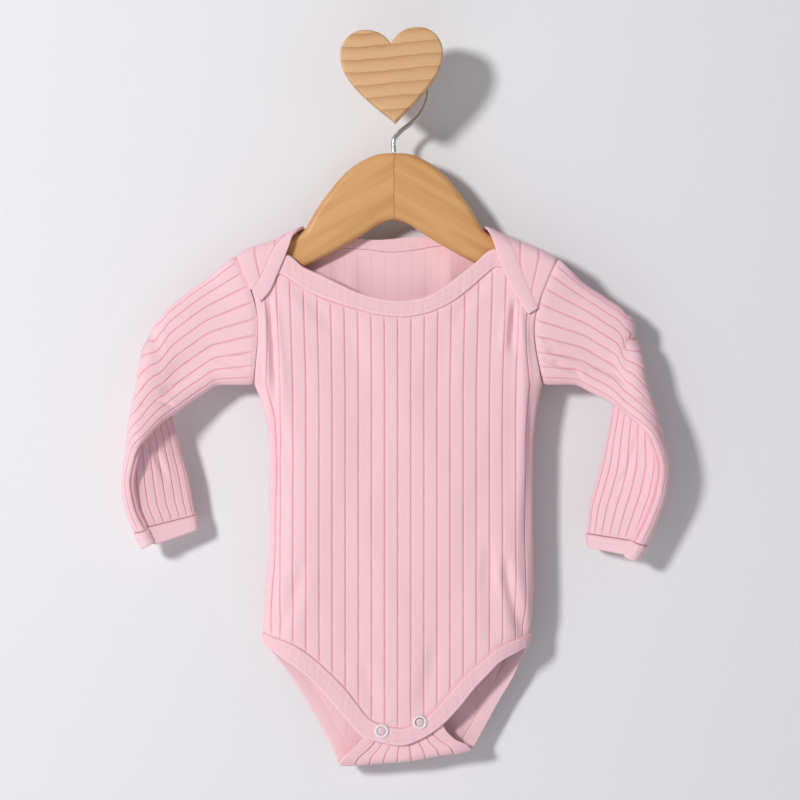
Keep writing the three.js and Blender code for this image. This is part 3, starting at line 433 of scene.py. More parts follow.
def shell(name, outer, inner, present, wrap, facing, groove, weave, **kind):
    """A closed thin wall between two grids of points, over the quads that are present."""
    rows, columns = outer.shape[:2]
    count = rows * columns
    index = np.arange(count).reshape(rows, columns)
    if wrap:
        index = np.concatenate([index, index[:, :1]], axis=1)
    a, b = index[:-1, :-1], index[:-1, 1:]
    c, d = index[1:, 1:], index[1:, :-1]
    padded = np.pad(present, 1)
    if wrap:
        padded[:, 0], padded[:, -1] = padded[:, -2], padded[:, 1]
    below, above = present & ~padded[:-2, 1:-1], present & ~padded[2:, 1:-1]
    before, after = present & ~padded[1:-1, :-2], present & ~padded[1:-1, 2:]

    def quads(where, *corners):
        return np.stack([corner[where] for corner in corners], -1)

    faces = np.concatenate([
        quads(present, a, b, c, d),
        quads(present, a + count, d + count, c + count, b + count),
        quads(below, b, a, a + count, b + count),
        quads(above, d, c, c + count, d + count),
        quads(before, a, d, d + count, a + count),
        quads(after, c, b, b + count, c + count),
    ])
    if facing < 0:
        faces = faces[:, ::-1]
    used, faces = np.unique(faces, return_inverse=True)
    faces = faces.reshape(-1, 4)
    vertices = np.concatenate([outer.reshape(-1, 3), inner.reshape(-1, 3)])[used]
    inside = used >= count
    # The groove field is painted shade for grooves and seams, at 0.3 of its strength on the inside.
    fields = {
        "groove": np.tile(groove.ravel(), 2)[used] * np.where(inside, 0.3, 1),
        "weave": np.tile(weave.reshape(-1, 3), (2, 1))[used],
    }
    return make_mesh(name, vertices, faces.tolist(), fields=fields, **kind)


def weave_of(grid, wrap=False):
    """Millimetres across and along the cloth at each point of a grid."""
    across = np.linalg.norm(np.diff(grid, axis=1), axis=-1)
    along = np.linalg.norm(np.diff(grid, axis=0), axis=-1)
    u = np.pad(np.cumsum(across.mean(0)), (1, 0))[None, :] * np.ones(grid.shape[:2])
    v = np.pad(np.cumsum(along, axis=0), ((1, 0), (0, 0)))
    return points(u, v, 0)


# Materials
def srgb(r, g, b):
    """A colour as a screen shows it, 0 to 255, turned to Blender's linear one."""
    return [((c / 255 + 0.055) / 1.055) ** 2.4 if c > 10 else c / 3294.6 for c in (r, g, b)] + [1]


class Nodes:
    """A short way to write a material's nodes."""

    def __init__(self, name):
        self.material = bpy.data.materials.new(name)
        self.material.use_nodes = True
        self.tree = self.material.node_tree
        self.tree.nodes.clear()
        self.shader = self.add("ShaderNodeBsdfPrincipled")
        self.out = self.add("ShaderNodeOutputMaterial")
        self.link(self.shader.outputs[0], self.out.inputs[0])

    def add(self, kind, values=(), **properties):
        node = self.tree.nodes.new(kind)
        for key, value in properties.items():
            setattr(node, key, value)
        for key, value in dict(values).items():
            self.put(node.inputs[key], value)
        return node

    def link(self, a, b):
        self.tree.links.new(a, b)

    def put(self, socket, value):
        if isinstance(value, bpy.types.NodeSocket):
            self.link(value, socket)
        else:
            socket.default_value = value

    def math(self, operation, a, b=0.0, c=0.0):
        node = self.add("ShaderNodeMath", {0: a, 1: b, 2: c}, operation=operation)
        return node.outputs[0]

    def noise(self, vector, scale, detail=3.0, distortion=0.0):
        node = self.add("ShaderNodeTexNoise", {
            "Vector": vector, "Scale": scale, "Detail": detail, "Distortion": distortion,
        })
        return node.outputs["Fac"]

    def blend(self, share, a, b):
        node = self.add("ShaderNodeMix", data_type="RGBA")
        for key, value in ((0, share), (6, a), (7, b)):
            self.put(node.inputs[key], value)
        return node.outputs[2]

    def bump(self, height, strength, distance):
        node = self.add("ShaderNodeBump", {"Height": height, "Strength": strength, "Distance": distance})
        return node.outputs[0]

    def scaled(self, vector, scale):
        node = self.add("ShaderNodeVectorMath", {0: vector, 1: scale}, operation="MULTIPLY")
        return node.outputs[0]

    def apart(self, vector):
        return self.add("ShaderNodeSeparateXYZ", {0: vector}).outputs

    def set(self, **values):
        for key, value in values.items():
            self.put(self.shader.inputs[key.replace("_", " ")], value)


def knit_material(name, light, deep, shade):
    """Fine cotton jersey: painted shade, a deeper pink, in its grooves; tiny stitches and a soft nap."""
    n = Nodes(name)
    weave = n.add("ShaderNodeAttribute", attribute_name="weave").outputs["Vector"]
    groove = n.add("ShaderNodeAttribute", attribute_name="groove").outputs["Fac"]
    wales = n.math("SINE", n.math("MULTIPLY", n.apart(weave)[0], 2 * math.pi / 1.1))
    courses = n.math("SINE", n.math("MULTIPLY", n.apart(weave)[1], 2 * math.pi / 0.9))
    fuzz = n.noise(weave, 0.9, 4)
    cloud = n.noise(weave, 0.035, 2)
    body = n.blend(n.math("MULTIPLY_ADD", cloud, 0.5, -0.05), light, shade)
    speckled = n.blend(n.math("MULTIPLY_ADD", fuzz, 0.28, 0.0), body, shade)
    # Painted shade in the grooves: the colour goes from speckled towards the deep colour where the groove field is
    # high, made uneven by patchy.
    patchy = n.math("MULTIPLY_ADD", n.noise(weave, 0.12, 3), 0.9, 0.35)
    n.set(Base_Color=n.blend(n.math("MULTIPLY", groove, patchy), speckled, deep))
    stitches = n.math("MULTIPLY_ADD", n.math("MULTIPLY", wales, courses), 0.25, fuzz)
    n.set(Normal=n.bump(stitches, 0.35, 0.0003), Roughness=0.88)
    n.set(Sheen_Weight=0.22, Sheen_Roughness=0.45, Sheen_Tint=(1, 0.9, 0.92, 1))
    n.set(Specular_IOR_Level=0.25)
    return n.material


def wood_material(name, light, dark, along, grain_scale, rough, joint=False):
    """Grain along a board: along turns a point of the board into (along, across, deep) millimetres."""
    n = Nodes(name)
    where = n.add("ShaderNodeTexCoord").outputs["Object"]
    vector = along(n, where)
    fine = n.noise(n.scaled(vector, (0.035, 1.6, 1.6)), 1.0, 5, 0.4)
    broad = n.noise(n.scaled(vector, (0.006, grain_scale, grain_scale)), 1.0, 3, 1.2)
    band = n.math("SMOOTH_MAX", n.math("MULTIPLY_ADD", broad, 3.2, -1.15), 0.0, 0.1)
    colour = n.blend(n.math("MINIMUM", band, 1.0), light, dark)
    colour = n.blend(n.math("MULTIPLY_ADD", fine, 0.55, -0.1), colour, dark)
    height = fine
    if joint:
        beside = n.math("ABSOLUTE", n.apart(where)[0])
        line = n.math("LESS_THAN", beside, 0.00022)
        colour = n.blend(n.math("MULTIPLY", line, 0.7), colour, srgb(120, 72, 34))
    n.set(Base_Color=colour, Roughness=rough, Normal=n.bump(height, 0.12, 0.0004), Coat_Weight=0.12)
    return n.material


def arm_coordinates(n, where):
    """Along each arm of the hanger, which slopes down from its middle."""
    x, y, z = n.apart(where)
    slope = math.radians(31)
    out = n.math("ABSOLUTE", x)
    along = n.math("SUBTRACT", n.math("MULTIPLY", out, math.cos(slope)), n.math("MULTIPLY", z, math.sin(slope)))
    across = n.math("ADD", n.math("MULTIPLY", out, math.sin(slope)), n.math("MULTIPLY", z, math.cos(slope)))
    apart = n.math("MULTIPLY_ADD", n.math("SIGN", x), 0.35, y)
    joined = n.add("ShaderNodeCombineXYZ", {0: along, 1: across, 2: apart}).outputs[0]
    return n.scaled(joined, (1000, 1000, 1000))


def heart_coordinates(n, where):
    """Level grain that tilts a little up to the right."""
    x, y, z = n.apart(where)
    across = n.math("SUBTRACT", z, n.math("MULTIPLY", x, 0.07))
    joined = n.add("ShaderNodeCombineXYZ", {0: x, 1: across, 2: y}).outputs[0]
    return n.scaled(joined, (1000, 1000, 1000))


def pine_material(name):
    """Bare pine: five darker bands of late wood, each sharp below and soft above, and fine grain."""
    n = Nodes(name)
    where = n.add("ShaderNodeTexCoord").outputs["Object"]
    vector = heart_coordinates(n, where)
    wander = n.noise(n.scaled(vector, (0.03, 0.02, 0.03)), 1.0, 2)
    height = n.math("MULTIPLY_ADD", wander, 5.0, n.apart(vector)[1])
    phase = n.math("FRACT", n.math("MULTIPLY_ADD", height, 1 / 8.6, 0.32))
    band = n.math("MULTIPLY", n.math("POWER", phase, 3.2), n.math("LESS_THAN", phase, 0.97))
    fine = n.noise(n.scaled(vector, (0.05, 1.9, 1.9)), 1.0, 5, 0.4)
    share = n.math("MULTIPLY", band, n.math("MULTIPLY_ADD", wander, 0.9, 0.25))
    colour = n.blend(share, srgb(222, 178, 130), srgb(178, 117, 66))
    colour = n.blend(n.math("MULTIPLY_ADD", fine, 0.45, -0.14), colour, srgb(190, 136, 86))
    n.set(Base_Color=colour, Roughness=0.55, Normal=n.bump(fine, 0.15, 0.0004))
    return n.material


def enamel_material(name, colour, rough):
    n = Nodes(name)
    mottle = n.noise(n.scaled(n.add("ShaderNodeTexCoord").outputs["Object"], (1000, 1000, 1000)), 0.8, 2)
    darker = [c * 0.92 for c in colour[:3]] + [1]
    n.set(Base_Color=n.blend(mottle, colour, darker), Roughness=rough, Coat_Weight=0.3)
    return n.material


def chrome_material(name):
    n = Nodes(name)
    wear = n.noise(n.scaled(n.add("ShaderNodeTexCoord").outputs["Object"], (1000, 1000, 120)), 0.6, 3)
    n.set(Base_Color=(0.62, 0.61, 0.6, 1), Metallic=1.0)
    n.set(Roughness=n.math("MULTIPLY_ADD", wear, 0.12, 0.12))
    return n.material


# The deep colour of each knit is painted shade for its grooves and seam lines.
rib_knit = knit_material("rib_knit", srgb(249, 209, 215), srgb(235, 160, 174), srgb(244, 196, 204))
binding_knit = knit_material("binding_knit", srgb(249, 211, 217), srgb(234, 160, 174), srgb(244, 199, 207))
hanger_wood = wood_material(
    "hanger_wood", srgb(222, 170, 112), srgb(205, 146, 88), arm_coordinates, 0.09, 0.42, joint=True
)
peg_pine = pine_material("peg_pine")
chrome = chrome_material("chrome")
ring_enamel = enamel_material("ring_enamel", srgb(245, 238, 238), 0.35)
centre_enamel = enamel_material("centre_enamel", srgb(232, 205, 208), 0.3)

KNIT = {"material": rib_knit, "slot": "rib_knit"}
BINDING = {"material": binding_knit, "slot": "binding_knit"}


def cloth_shell(name, base, u, present, wrap, facing, moved, fade, keep_inside=None, pitch=RIB_PITCH, **kind):
    """Ribbed cloth over a grid of groove points: ribs and creases outside, a plain inside."""
    normals = grid_normals(base, wrap) * facing
    # groove here is painted shade: full in each groove, none on the ribs.
    groove = np.broadcast_to(groove_share(u, pitch), base.shape[:2]) * fade
    height = RIB * (1 - groove_share(u, pitch)) * fade + moved
    outer = base + normals * height[..., None]
    inner = base + normals * (moved - SHELL_CLOTH)[..., None]
    if keep_inside is not None:
        inner = keep_inside(inner)
        outer = keep_inside(outer)
    return shell(name, outer, inner, present, wrap, facing, groove, weave_of(base), **kind)


# Front panel
PANEL_U = fine_columns(PANEL_COLUMNS)
EDGE_FADE = 2.2  # ribs flatten this close to a sewn edge
FRONT_ROWS = 104


def front_panel():
    low = settle(PANEL_U, -380, front_leg_seam)
    high = settle(PANEL_U, -150, neck_seam)
    z = mix(low, high, np.linspace(0, 1, FRONT_ROWS)[:, None])
    x = column_x(PANEL_U, z)
    base = front_point(x, z)
    ends = smooth(0, EDGE_FADE, z - low) * smooth(0, EDGE_FADE, high - z)
    inset = np.minimum(x - body_edge("left", z), body_edge("right", z) - x)
    sides = smooth(0, 5, inset)
    moved = (creases(x, z, FRONT_CREASES) + unevenness(x, z, BODY_WAVES)) * sides * smooth(0, 9, z - low + 3)
    moved -= 0.5 * (1 - smooth(0, 1.6, inset))

    def before_middle(grid):
        grid[..., 1] = np.minimum(grid[..., 1], -MIDDLE - 0.1)
        return grid

    present = np.ones((FRONT_ROWS - 1, len(PANEL_U) - 1), bool)
    return cloth_shell("front_panel", base, PANEL_U, present, False, 1, moved, ends, before_middle,
                       replaces=["front_body"], **KNIT)


# Back panel: the tab and its fold below, the back, and the flaps over the shoulders
TAB_COLUMNS = (8, 15)
FLAP_COLUMNS = (3, PANEL_COLUMNS - 3)
TAB_TOP = {"side": 27.0, "middle": 32.5}
TAB_ROWS = 26
BACK_ROWS = 104
TURN_ROWS = 8
FLAP_ROWS = 22


def back_panel():
    u = PANEL_U
    first, last = TAB_COLUMNS
    share = np.clip((u - first) / (last - first), 0, 1)
    in_tab = (u >= first) & (u <= last)
    top = mix(TAB_TOP["side"], TAB_TOP["middle"], rise(np.minimum(share, 1 - share), 0.4, 2))

    def tab_x(path):
        return mix(tab_seam["left"](path), tab_seam["right"](path), share)

    rows, moves, fades = [], [], []

    def add(row, move=0.0, fade=1.0):
        rows.append(row)
        moves.append(np.broadcast_to(move, u.shape))
        fades.append(np.broadcast_to(fade, u.shape))

    for t in np.linspace(0, 1, TAB_ROWS, endpoint=False):
        path = mix(top, -FOLD_PATH, t)
        add(fold_point(tab_x(path), path), 0.25 * np.sin(u * 1.7 + path * 0.2))

    over = (u <= FLAP_COLUMNS[0]) | (u >= FLAP_COLUMNS[1])
    high = settle(u, -130, lambda x: np.where(over, ridge(x) - RIDGE, back_neck_seam(x)))
    tab_low = fold_bottom(tab_x(-FOLD_PATH)) + FOLD
    low = np.where(in_tab, tab_low, settle(u, -400, back_leg_seam))
    for t in np.linspace(0, 1, BACK_ROWS):
        z = mix(low, high, t)
        towards_tab = np.where(in_tab, 1 - smooth(-459, -425, z), 0)
        x = mix(column_x(u, z), tab_x(-FOLD_PATH), towards_tab)
        inset = np.minimum(x - body_edge("left", z), body_edge("right", z) - x)
        move = creases(x, z, BACK_CREASES) + unevenness(x + 20, z, BODY_WAVES)
        move = move * smooth(0, 5, inset) * smooth(0, 9, high - z) * smooth(0, 9, z - low)
        fade_above = np.where(over, 1, smooth(0, EDGE_FADE, high - z))
        fade_below = np.where(in_tab, 1, smooth(0, EDGE_FADE, z - low))
        fade = fade_above * fade_below
        add(back_point(x, z), move - 0.5 * (1 - smooth(0, 1.6, inset)), fade)

    left = u < PANEL_COLUMNS / 2

    def seam(x):
        return np.minimum(np.where(left, flap_seam["left"](x), flap_seam["right"](x)), ridge(x) - 0.3)

    end_z = settle(u, -120, seam)
    end_turn = turn_at(column_x(u, end_z), end_z)
    for t in np.linspace(0, 1, TURN_ROWS + FLAP_ROWS + 1)[1:]:
        turn = end_turn * t
        z = np.full_like(u, -120)
        for _ in range(8):
            z = shoulder_point(column_x(u, z), turn)[:, 2]
        x = column_x(u, z)
        armhole_side = np.minimum(x - body_edge("left", z), body_edge("right", z) - x)
        add(shoulder_point(x, turn), -0.5 * (1 - smooth(0, 1.6, armhole_side)), 0.85)

    base = np.stack(rows)
    moved, fade = np.stack(moves), np.stack(fades)
    present = np.zeros((len(base) - 1, len(u) - 1), bool)
    middle = (u[:-1] + u[1:]) / 2
    present[:TAB_ROWS] = (middle > first) & (middle < last)
    present[TAB_ROWS:TAB_ROWS + BACK_ROWS - 1] = True
    present[TAB_ROWS + BACK_ROWS - 1:] = (middle < FLAP_COLUMNS[0]) | (middle > FLAP_COLUMNS[1])

    def behind_middle(grid):
        back = grid[TAB_ROWS:TAB_ROWS + BACK_ROWS]
        back[..., 1] = np.maximum(back[..., 1], -MIDDLE + 0.1)
        return grid

    return cloth_shell("back_panel", base, u, present, False, -1, moved, fade, behind_middle,
                       replaces=["back_body"], **KNIT)


# Bindings: a folded strip from a seam to a free edge, with its two lines of stitches
STRIP_ACROSS = np.array([
    -0.05, 0, 0.03, 0.08, 0.14, 0.19, 0.22, 0.25, 0.3, 0.38, 0.46, 0.54, 0.62, 0.7, 0.76, 0.8, 0.84, 0.88,
    0.92, 0.955, 0.98, 1,
])
STRIP_UP = np.array([
    -0.5, 0.1, 0.62, 0.92, 1, 0.93, 0.8, 0.93, 1, 1, 0.98, 0.98, 1, 1, 0.93, 0.8, 0.93, 1, 0.96, 0.8, 0.5, 0,
])
NEEDLE_LINES = (0.22, 0.8)


def binding(name, seam, edge, facing, replaces):
    """seam and edge are matched lines of points, spaced about a third of a millimetre."""
    across = (edge - seam)[:, None, :] * STRIP_ACROSS[None, :, None]
    base = seam[:, None, :] + across
    along = np.gradient((seam + edge) / 2, axis=0)
    normal = unit(np.cross(along, edge - seam)) * facing
    travelled = np.cumsum(np.linalg.norm(along, axis=1))
    beat = np.abs(np.sin(math.pi * travelled / STITCH))[:, None]
    near = sum(np.exp(-(((STRIP_ACROSS - line) / 0.035) ** 2)) for line in NEEDLE_LINES)[None, :]
    between = ((STRIP_ACROSS > NEEDLE_LINES[0]) & (STRIP_ACROSS < NEEDLE_LINES[1])).astype(float)[None, :]
    sway = 0.51 + 0.19 * (4 * np.abs(travelled / STITCH % 1 - 0.5) - 1)[:, None]
    thread = np.exp(-(((STRIP_ACROSS[None, :] - sway) / 0.05) ** 2)) * between
    slack = 0.07 * np.sin(travelled * 0.9)[:, None] * np.sin(travelled * 0.23 + 1)[:, None]
    up = BINDING_RISE * STRIP_UP[None, :] + 0.28 * beat * near + 0.16 * thread + slack
    down = -0.35 - 0.55 * np.sqrt(np.maximum(1 - (2 * STRIP_ACROSS - 1) ** 2, 0))[None, :] + 0 * up
    down[:, -1] = -0.1
    outer = base + normal[:, None, :] * up[..., None]
    inner = base + normal[:, None, :] * down[..., None]
    # Painted shade: along the seam line, in the needle holes between stitches, and between the needle lines where no
    # thread lies.
    seam_line_shade = np.exp(-((STRIP_ACROSS / 0.05) ** 2))[None, :]
    groove = np.clip(seam_line_shade + 0.55 * near * (1 - beat) + 0.22 * between * (1 - thread), 0, 1) + 0 * up
    present = np.ones((len(seam) - 1, len(STRIP_ACROSS) - 1), bool)
    weave = points(STRIP_ACROSS[None, :] * 9.3, travelled[:, None], 0)
    return shell(name, outer, inner, present, False, -facing, groove, weave, replaces=replaces, **BINDING)


def on_curve(height, from_x, to_x, count):
    """Evenly spaced points on the front along a track of heights."""
    x = np.linspace(from_x, to_x, 4 * count)
    line = front_point(x, height(x))
    travelled = np.pad(np.cumsum(np.linalg.norm(np.diff(line, axis=0), axis=1)), (1, 0))
    even = np.interp(np.linspace(0, travelled[-1], count), travelled, x)
    return front_point(even, height(even))


# Rows of the back neck binding: X and drop below the ridge of its seam, then of its edge; face 1 in front
NECK_LEFT = [
    (-94.6, 27.8, -88.6, 38.5, 1), (-90.2, 25, -82.3, 33.4, 1), (-85.7, 17.4, -77.3, 24.4, 1),
    (-81.2, 8.6, -72.7, 16, 1), (-78.3, 4.6, -69.5, 9.6, 1), (-74.6, 2, -67, 3.4, 1),
    (-70.5, 0.5, -63.4, 0.7, 1), (-68.2, 0, -60.5, 0, 1), (-68.1, 0.5, -60, 0.5, -1),
    (-68.5, 3, -59, 2.4, -1), (-68.2, 8.6, -54, 6.5, -1),
]
NECK_MIDDLE = [
    (-55, -120, -44, -111.6), (-35, -120.5, -30, -113.4), (-17.3, -121.6, -13, -114.6),
    (-2, -123.3, -1, -114), (13.3, -122, 11, -112.6), (27.7, -119.4, 24, -112.4), (45, -118, 38, -111.6),
    (60, -119, 47.5, -110),
]
NECK_RIGHT = [
    (73.8, 8, 55, 6, -1), (74.1, 3, 58.8, 2.4, -1), (74.4, 0.5, 60, 0.5, -1), (74.7, 0, 60.5, 0, 1),
    (75.2, 0.5, 61.5, 0.7, 1), (76, 1.6, 63.4, 3.2, 1), (78.5, 5.4, 66, 8.8, 1), (82.2, 14.6, 69.4, 17.6, 1),
    (87.4, 25.4, 75, 28.6, 1), (92.2, 34.6, 81.5, 38, 1), (95, 40.6, 88.8, 46.5, 1),
]
# Rows of the back leg binding: X and Z of seam and edge; on the tab X and path
LEG_LEFT = [
    (-87, -376.8, -86, -385.3), (-78, -383.8, -81, -391), (-69, -391.6, -76.7, -396.7),
    (-62.5, -400.3, -70.3, -405.3), (-56, -410.5, -64, -415.3), (-48.9, -422, -57, -426.7),
    (-41.1, -435.7, -49.3, -440), (-34, -448.5, -42.7, -452.3),
]
LEG_TAB = [
    (-28.5, -8, -38.5, -6), (-27, -3, -37.4, -2), (-26.3, 0, -37, 0), (-25.5, 3, -36.5, 2.5),
    (-23.5, 8, -34.5, 7.5), (-17.5, 13, -28, 13.5), (-11, 20.5, -20.4, 21.5), (-7.8, 27, -16, 31),
    (-2.5, 31, -8, 39), (8, 32.6, 8, 41.5), (16.5, 31.6, 22, 39), (21.8, 27, 30, 31),
    (25, 20.5, 34.4, 20.5), (31.5, 13, 41, 12.5), (37.5, 8, 48.3, 7.5), (39.5, 3, 51.6, 2.5),
    (40, 0, 52.6, 0), (41, -3, 53.6, -2), (43, -8, 55.6, -6),
]
LEG_RIGHT = [
    (48.7, -443.3, 57.6, -446.4), (55.3, -431.3, 63.3, -436), (62.7, -418, 70.7, -422.7),
    (71.3, -403.3, 79.3, -408), (77.6, -389.6, 86, -393.3), (84, -382.8, 88, -388.8),
    (90.4, -377.2, 89, -385.5),
]


def over_point(x, drop, face):
    z = ridge(x) - drop
    return flap_point(x, z) if face > 0 else back_point(x, z)


def matched_lines(rows_to_points, count):
    """Two smooth lines through matched rows of (seam point, edge point)."""
    pairs = np.array([np.concatenate(pair) for pair in rows_to_points])
    line = smooth_line(pairs, count)
    return line[:, :3], line[:, 3:]


def bindings():
    neck_count, leg_count = 560, 660
    seam = on_curve(neck_seam, -96.8, 98.5, neck_count)
    edge = on_curve(neck_edge, -98.6, 101.5, neck_count)
    binding("neck_binding_front_strip", seam, edge, 1, ["neck_binding_front"])

    seam = on_curve(front_leg_seam, -86.9, 90.5, leg_count)
    edge = on_curve(front_leg_edge, -85.7, 89.2, leg_count)
    binding("leg_binding_front_strip", seam, edge, -1, ["leg_binding_front"])

    shoulder = [(over_point(a, b, face), over_point(c, d, face)) for a, b, c, d, face in NECK_LEFT]
    middle = [(back_point(a, b), back_point(c, d)) for a, b, c, d in NECK_MIDDLE]
    other = [(over_point(a, b, face), over_point(c, d, face)) for a, b, c, d, face in NECK_RIGHT]
    seam, edge = matched_lines(shoulder + middle + other, 900)
    binding("neck_binding_back_strip", seam, edge, 1, ["neck_binding_back"])

    left = [(back_point(a, b), back_point(c, d)) for a, b, c, d in LEG_LEFT]
    tab = [(fold_point(a, b), fold_point(c, d)) for a, b, c, d in LEG_TAB]
    right = [(back_point(a, b), back_point(c, d)) for a, b, c, d in LEG_RIGHT]
    seam, edge = matched_lines(left + tab + right, 1100)
    binding("leg_binding_back_strip", seam, edge, 1, ["leg_binding_back"])


# Sleeves: rows of underarm seam, turn and top fold (X Y Z each), half thickness low and high, and rounding
SLEEVES = {
    "left": {
        "outward": 1,
        "cuff": 10,
        "top": -105.3,
        "stations": [
            (-93.5, -22, UNDERARM_Z, -91, -22, -165, -105.3, -22, ridge(105.3), 8.5, 8.8, 9),
            (-114.7, -22, -211.3, -119, -22, -176, -124.6, -22, -141.5, 7.5, 8.8, 9),
            (-129.3, -23.5, -218.7, -134.6, -22.5, -184, -139.8, -22, -153, 6, 8.6, 9),
            (-143.5, -28, -229, -150, -24, -194, -152.6, -22, -166.5, 4.6, 8, 8),
            (-152.7, -32, -235.3, -161, -26.5, -191, -154.5, -19.5, -183, 3.8, 5.5, 6),
            (-161.5, -37, -244.7, -167.6, -29.5, -213, -152.5, -17, -206, 3.8, 3.8, 4.5),
            (-168, -41, -253.3, -170.3, -31.5, -234, -149.5, -16, -230, 3.8, 3.8, 4.5),
            (-171, -40, -263, -171.8, -30, -256, -144.2, -15.5, -252, 3.8, 3.8, 4.5),
            (-173.6, -36, -277, -173.8, -27.5, -275, -138, -15, -273, 3.9, 3.9, 4.8),
            (-171.3, -32, -292.5, -172.4, -24.5, -291, -135.3, -14, -287, 4.3, 4.3, 5.2),
            (-164.8, -28.5, -308, -166.2, -21.5, -306.5, -133, -13.5, -298.5, 5, 5, 6),
            (-160, -26.5, -317, -161.3, -20, -318.5, -131.5, -13.2, -308.7, 5.4, 5.4, 6),
        ],
    },
    "right": {
        "outward": -1,
        "cuff": 11,
        "top": 108.7,
        "stations": [
            (99, -22, UNDERARM_Z, 93.5, -22, -170, 108.7, -22, ridge(108.7), 8.5, 8.8, 9),
            (118.7, -22, -211, 123.7, -22, -178, 127.6, -22, -145.2, 7.5, 8.8, 9),
            (132, -23.5, -216.7, 136.8, -22.5, -185, 140.6, -22, -154.2, 6, 8.6, 9),
            (145.3, -28, -224, 150.2, -24, -193, 152.6, -22, -165.3, 4.6, 8, 8),
            (155, -33, -232, 158.3, -26.5, -190, 151.6, -19, -183, 3.8, 5.5, 6),
            (162, -38, -238, 163.6, -29.5, -210, 149.6, -17, -204, 3.8, 3.8, 4.5),
            (168, -41, -246, 169, -31.5, -233, 146.6, -16, -229, 3.8, 3.8, 4.5),
            (172, -40, -255, 172.8, -30, -250, 142, -15.5, -250, 3.8, 3.8, 4.5),
            (175, -38, -268, 175.2, -28.5, -266, 138.7, -15, -266, 3.9, 3.9, 4.8),
            (173, -34.5, -283, 173.8, -26.5, -282, 134.7, -14, -280, 4.3, 4.3, 5.2),
            (167.3, -30.5, -300, 168.4, -23.5, -299, 130.7, -13.4, -296, 4.8, 4.8, 6),
            (160, -27.5, -316, 161.8, -21, -315.5, 129.5, -13.2, -310.7, 5.3, 5.3, 6),
            (154.4, -26, -327, 156.8, -19.5, -325.5, 130.5, -13, -320.5, 5.4, 5.4, 6),
        ],
    },
}
# Along in stations and round in turns at both ends, height, width and bow
SLEEVE_CREASES = {
    "left": [
        (0.1, 0.06, 1.1, 0.12, -1.3, 0.014, 0), (0.05, 0.12, 1.5, 0.2, -0.9, 0.014, 0.01),
        (2.2, 0.1, 3.8, 0.16, -1.2, 0.016, 0.01), (3.2, 0.03, 5.2, 0.2, -1.0, 0.016, 0),
        (4.4, 0.3, 5.6, 0.44, 0.9, 0.02, 0), (6.2, 0.2, 8.3, 0.34, -0.8, 0.02, 0.01),
        (0.6, 0.72, 2.8, 0.66, -1.3, 0.018, 0), (3.4, 0.8, 5.6, 0.6, -1.2, 0.02, 0.01),
        (6, 0.75, 8.2, 0.66, -0.9, 0.02, 0),
    ],
    "right": [
        (0.2, 0.21, 0.5, 0.08, -1.8, 0.012, 0), (0.15, 0.1, 1.3, 0.06, -1.7, 0.014, 0),
        (0.1, 0.15, 1.2, 0.13, -1.1, 0.013, 0.004), (2, 0.12, 3.9, 0.17, -1.1, 0.016, -0.01),
        (3.4, 0.04, 5.4, 0.2, -1.0, 0.016, 0), (4.5, 0.32, 5.8, 0.44, 0.8, 0.02, 0),
        (6.4, 0.2, 8.8, 0.34, -0.8, 0.02, 0.01), (0.5, 0.7, 2.6, 0.66, -1.4, 0.018, 0),
        (3.6, 0.8, 5.8, 0.62, -1.2, 0.02, -0.01), (6.6, 0.75, 9, 0.66, -0.9, 0.02, 0),
    ],
}
TUBE_GROOVES = np.array([0, 0.05, 0.14, 0.25, 0.375, 0.5, 0.625, 0.75, 0.86, 0.95, 1])
TUBE_COLUMNS = 2 * (len(TUBE_GROOVES) - 1)
SECTION_STEPS = 160


class Sleeve:
    """Places on a flat tube, by station n and by turn round it: 0 the underarm, 0.5 the top fold, front first."""

    def __init__(self, which):
        facts = SLEEVES[which]
        self.outward, self.cuff, self.top = facts["outward"], facts["cuff"], facts["top"]
        stations = np.array(facts["stations"], float)
        n = np.arange(len(stations))
        self.tracks = [track(*zip(n, column)) for column in stations.T]

    def section(self, n, across):
        corners = np.array([at(n) for at in self.tracks[:9]]).reshape(3, 3)
        line = turning_curve(*corners, np.linspace(0, 1, SECTION_STEPS))
        travelled = np.pad(np.cumsum(np.linalg.norm(np.diff(line, axis=0), axis=1)), (1, 0))
        at = across * travelled[-1]
        tangents = unit(np.gradient(line, axis=0))
        place = np.stack([np.interp(at, travelled, line[:, k]) for k in range(3)], -1)
        tangent = np.stack([np.interp(at, travelled, tangents[:, k]) for k in range(3)], -1)
        return place, tangent, travelled[-1]

    def row(self, n, turn):
        across = np.where(turn <= 0.5, 2 * turn, 2 - 2 * turn)
        centre, tangent, width = self.section(n, across)
        step = 0.02
        along = self.section(n + step, across)[0] - self.section(max(n - step, 0), across)[0]
        normal = unit(np.cross(tangent, along)) * self.outward
        normal = unit(mix(np.array([0, -1.0, 0]), normal, smooth(0, 0.6, n)))
        low, high, rounding = (at(n) for at in self.tracks[9:])
        turned = rise(across * width, rounding + 5 * (1 - smooth(0, 2, n)), 2)
        turned = turned * rise((1 - across) * width, rounding, 3)
        full = mix(low, high, smooth(0.25, 0.55, across)) * turned
        front = turn <= 0.5
        layer = np.where(front, mix(CHEST_FRONT, FLAP_FRONT, smooth(-172, -150, centre[:, 2])), SHOULDER_BACK)
        at_body = edge_depth(centre[:, 2], layer) * rise(ridge(self.top) - centre[:, 2], RIDGE, 3)
        half = mix(at_body, full, smooth(0, 1, n))
        return centre + normal * np.where(front, half, -half)[:, None]


def tube_turns(shares):
    """Turns round a tube at each fine step, and the column each lies in."""
    half = len(TUBE_GROOVES) - 1
    u = (np.arange(TUBE_COLUMNS)[:, None] + shares).ravel()
    column = np.floor(u).astype(int)

    def place(c):
        return c // half + TUBE_GROOVES[c % half]

    after = np.where(column + 1 == TUBE_COLUMNS, 2, place((column + 1) % TUBE_COLUMNS))
    return mix(place(column), after, u - column) / 2, u


CUFF_GAP = {"left": 0.03, "right": 0.03}
SLEEVE_ROWS = 120
CUFF_ROWS = 26


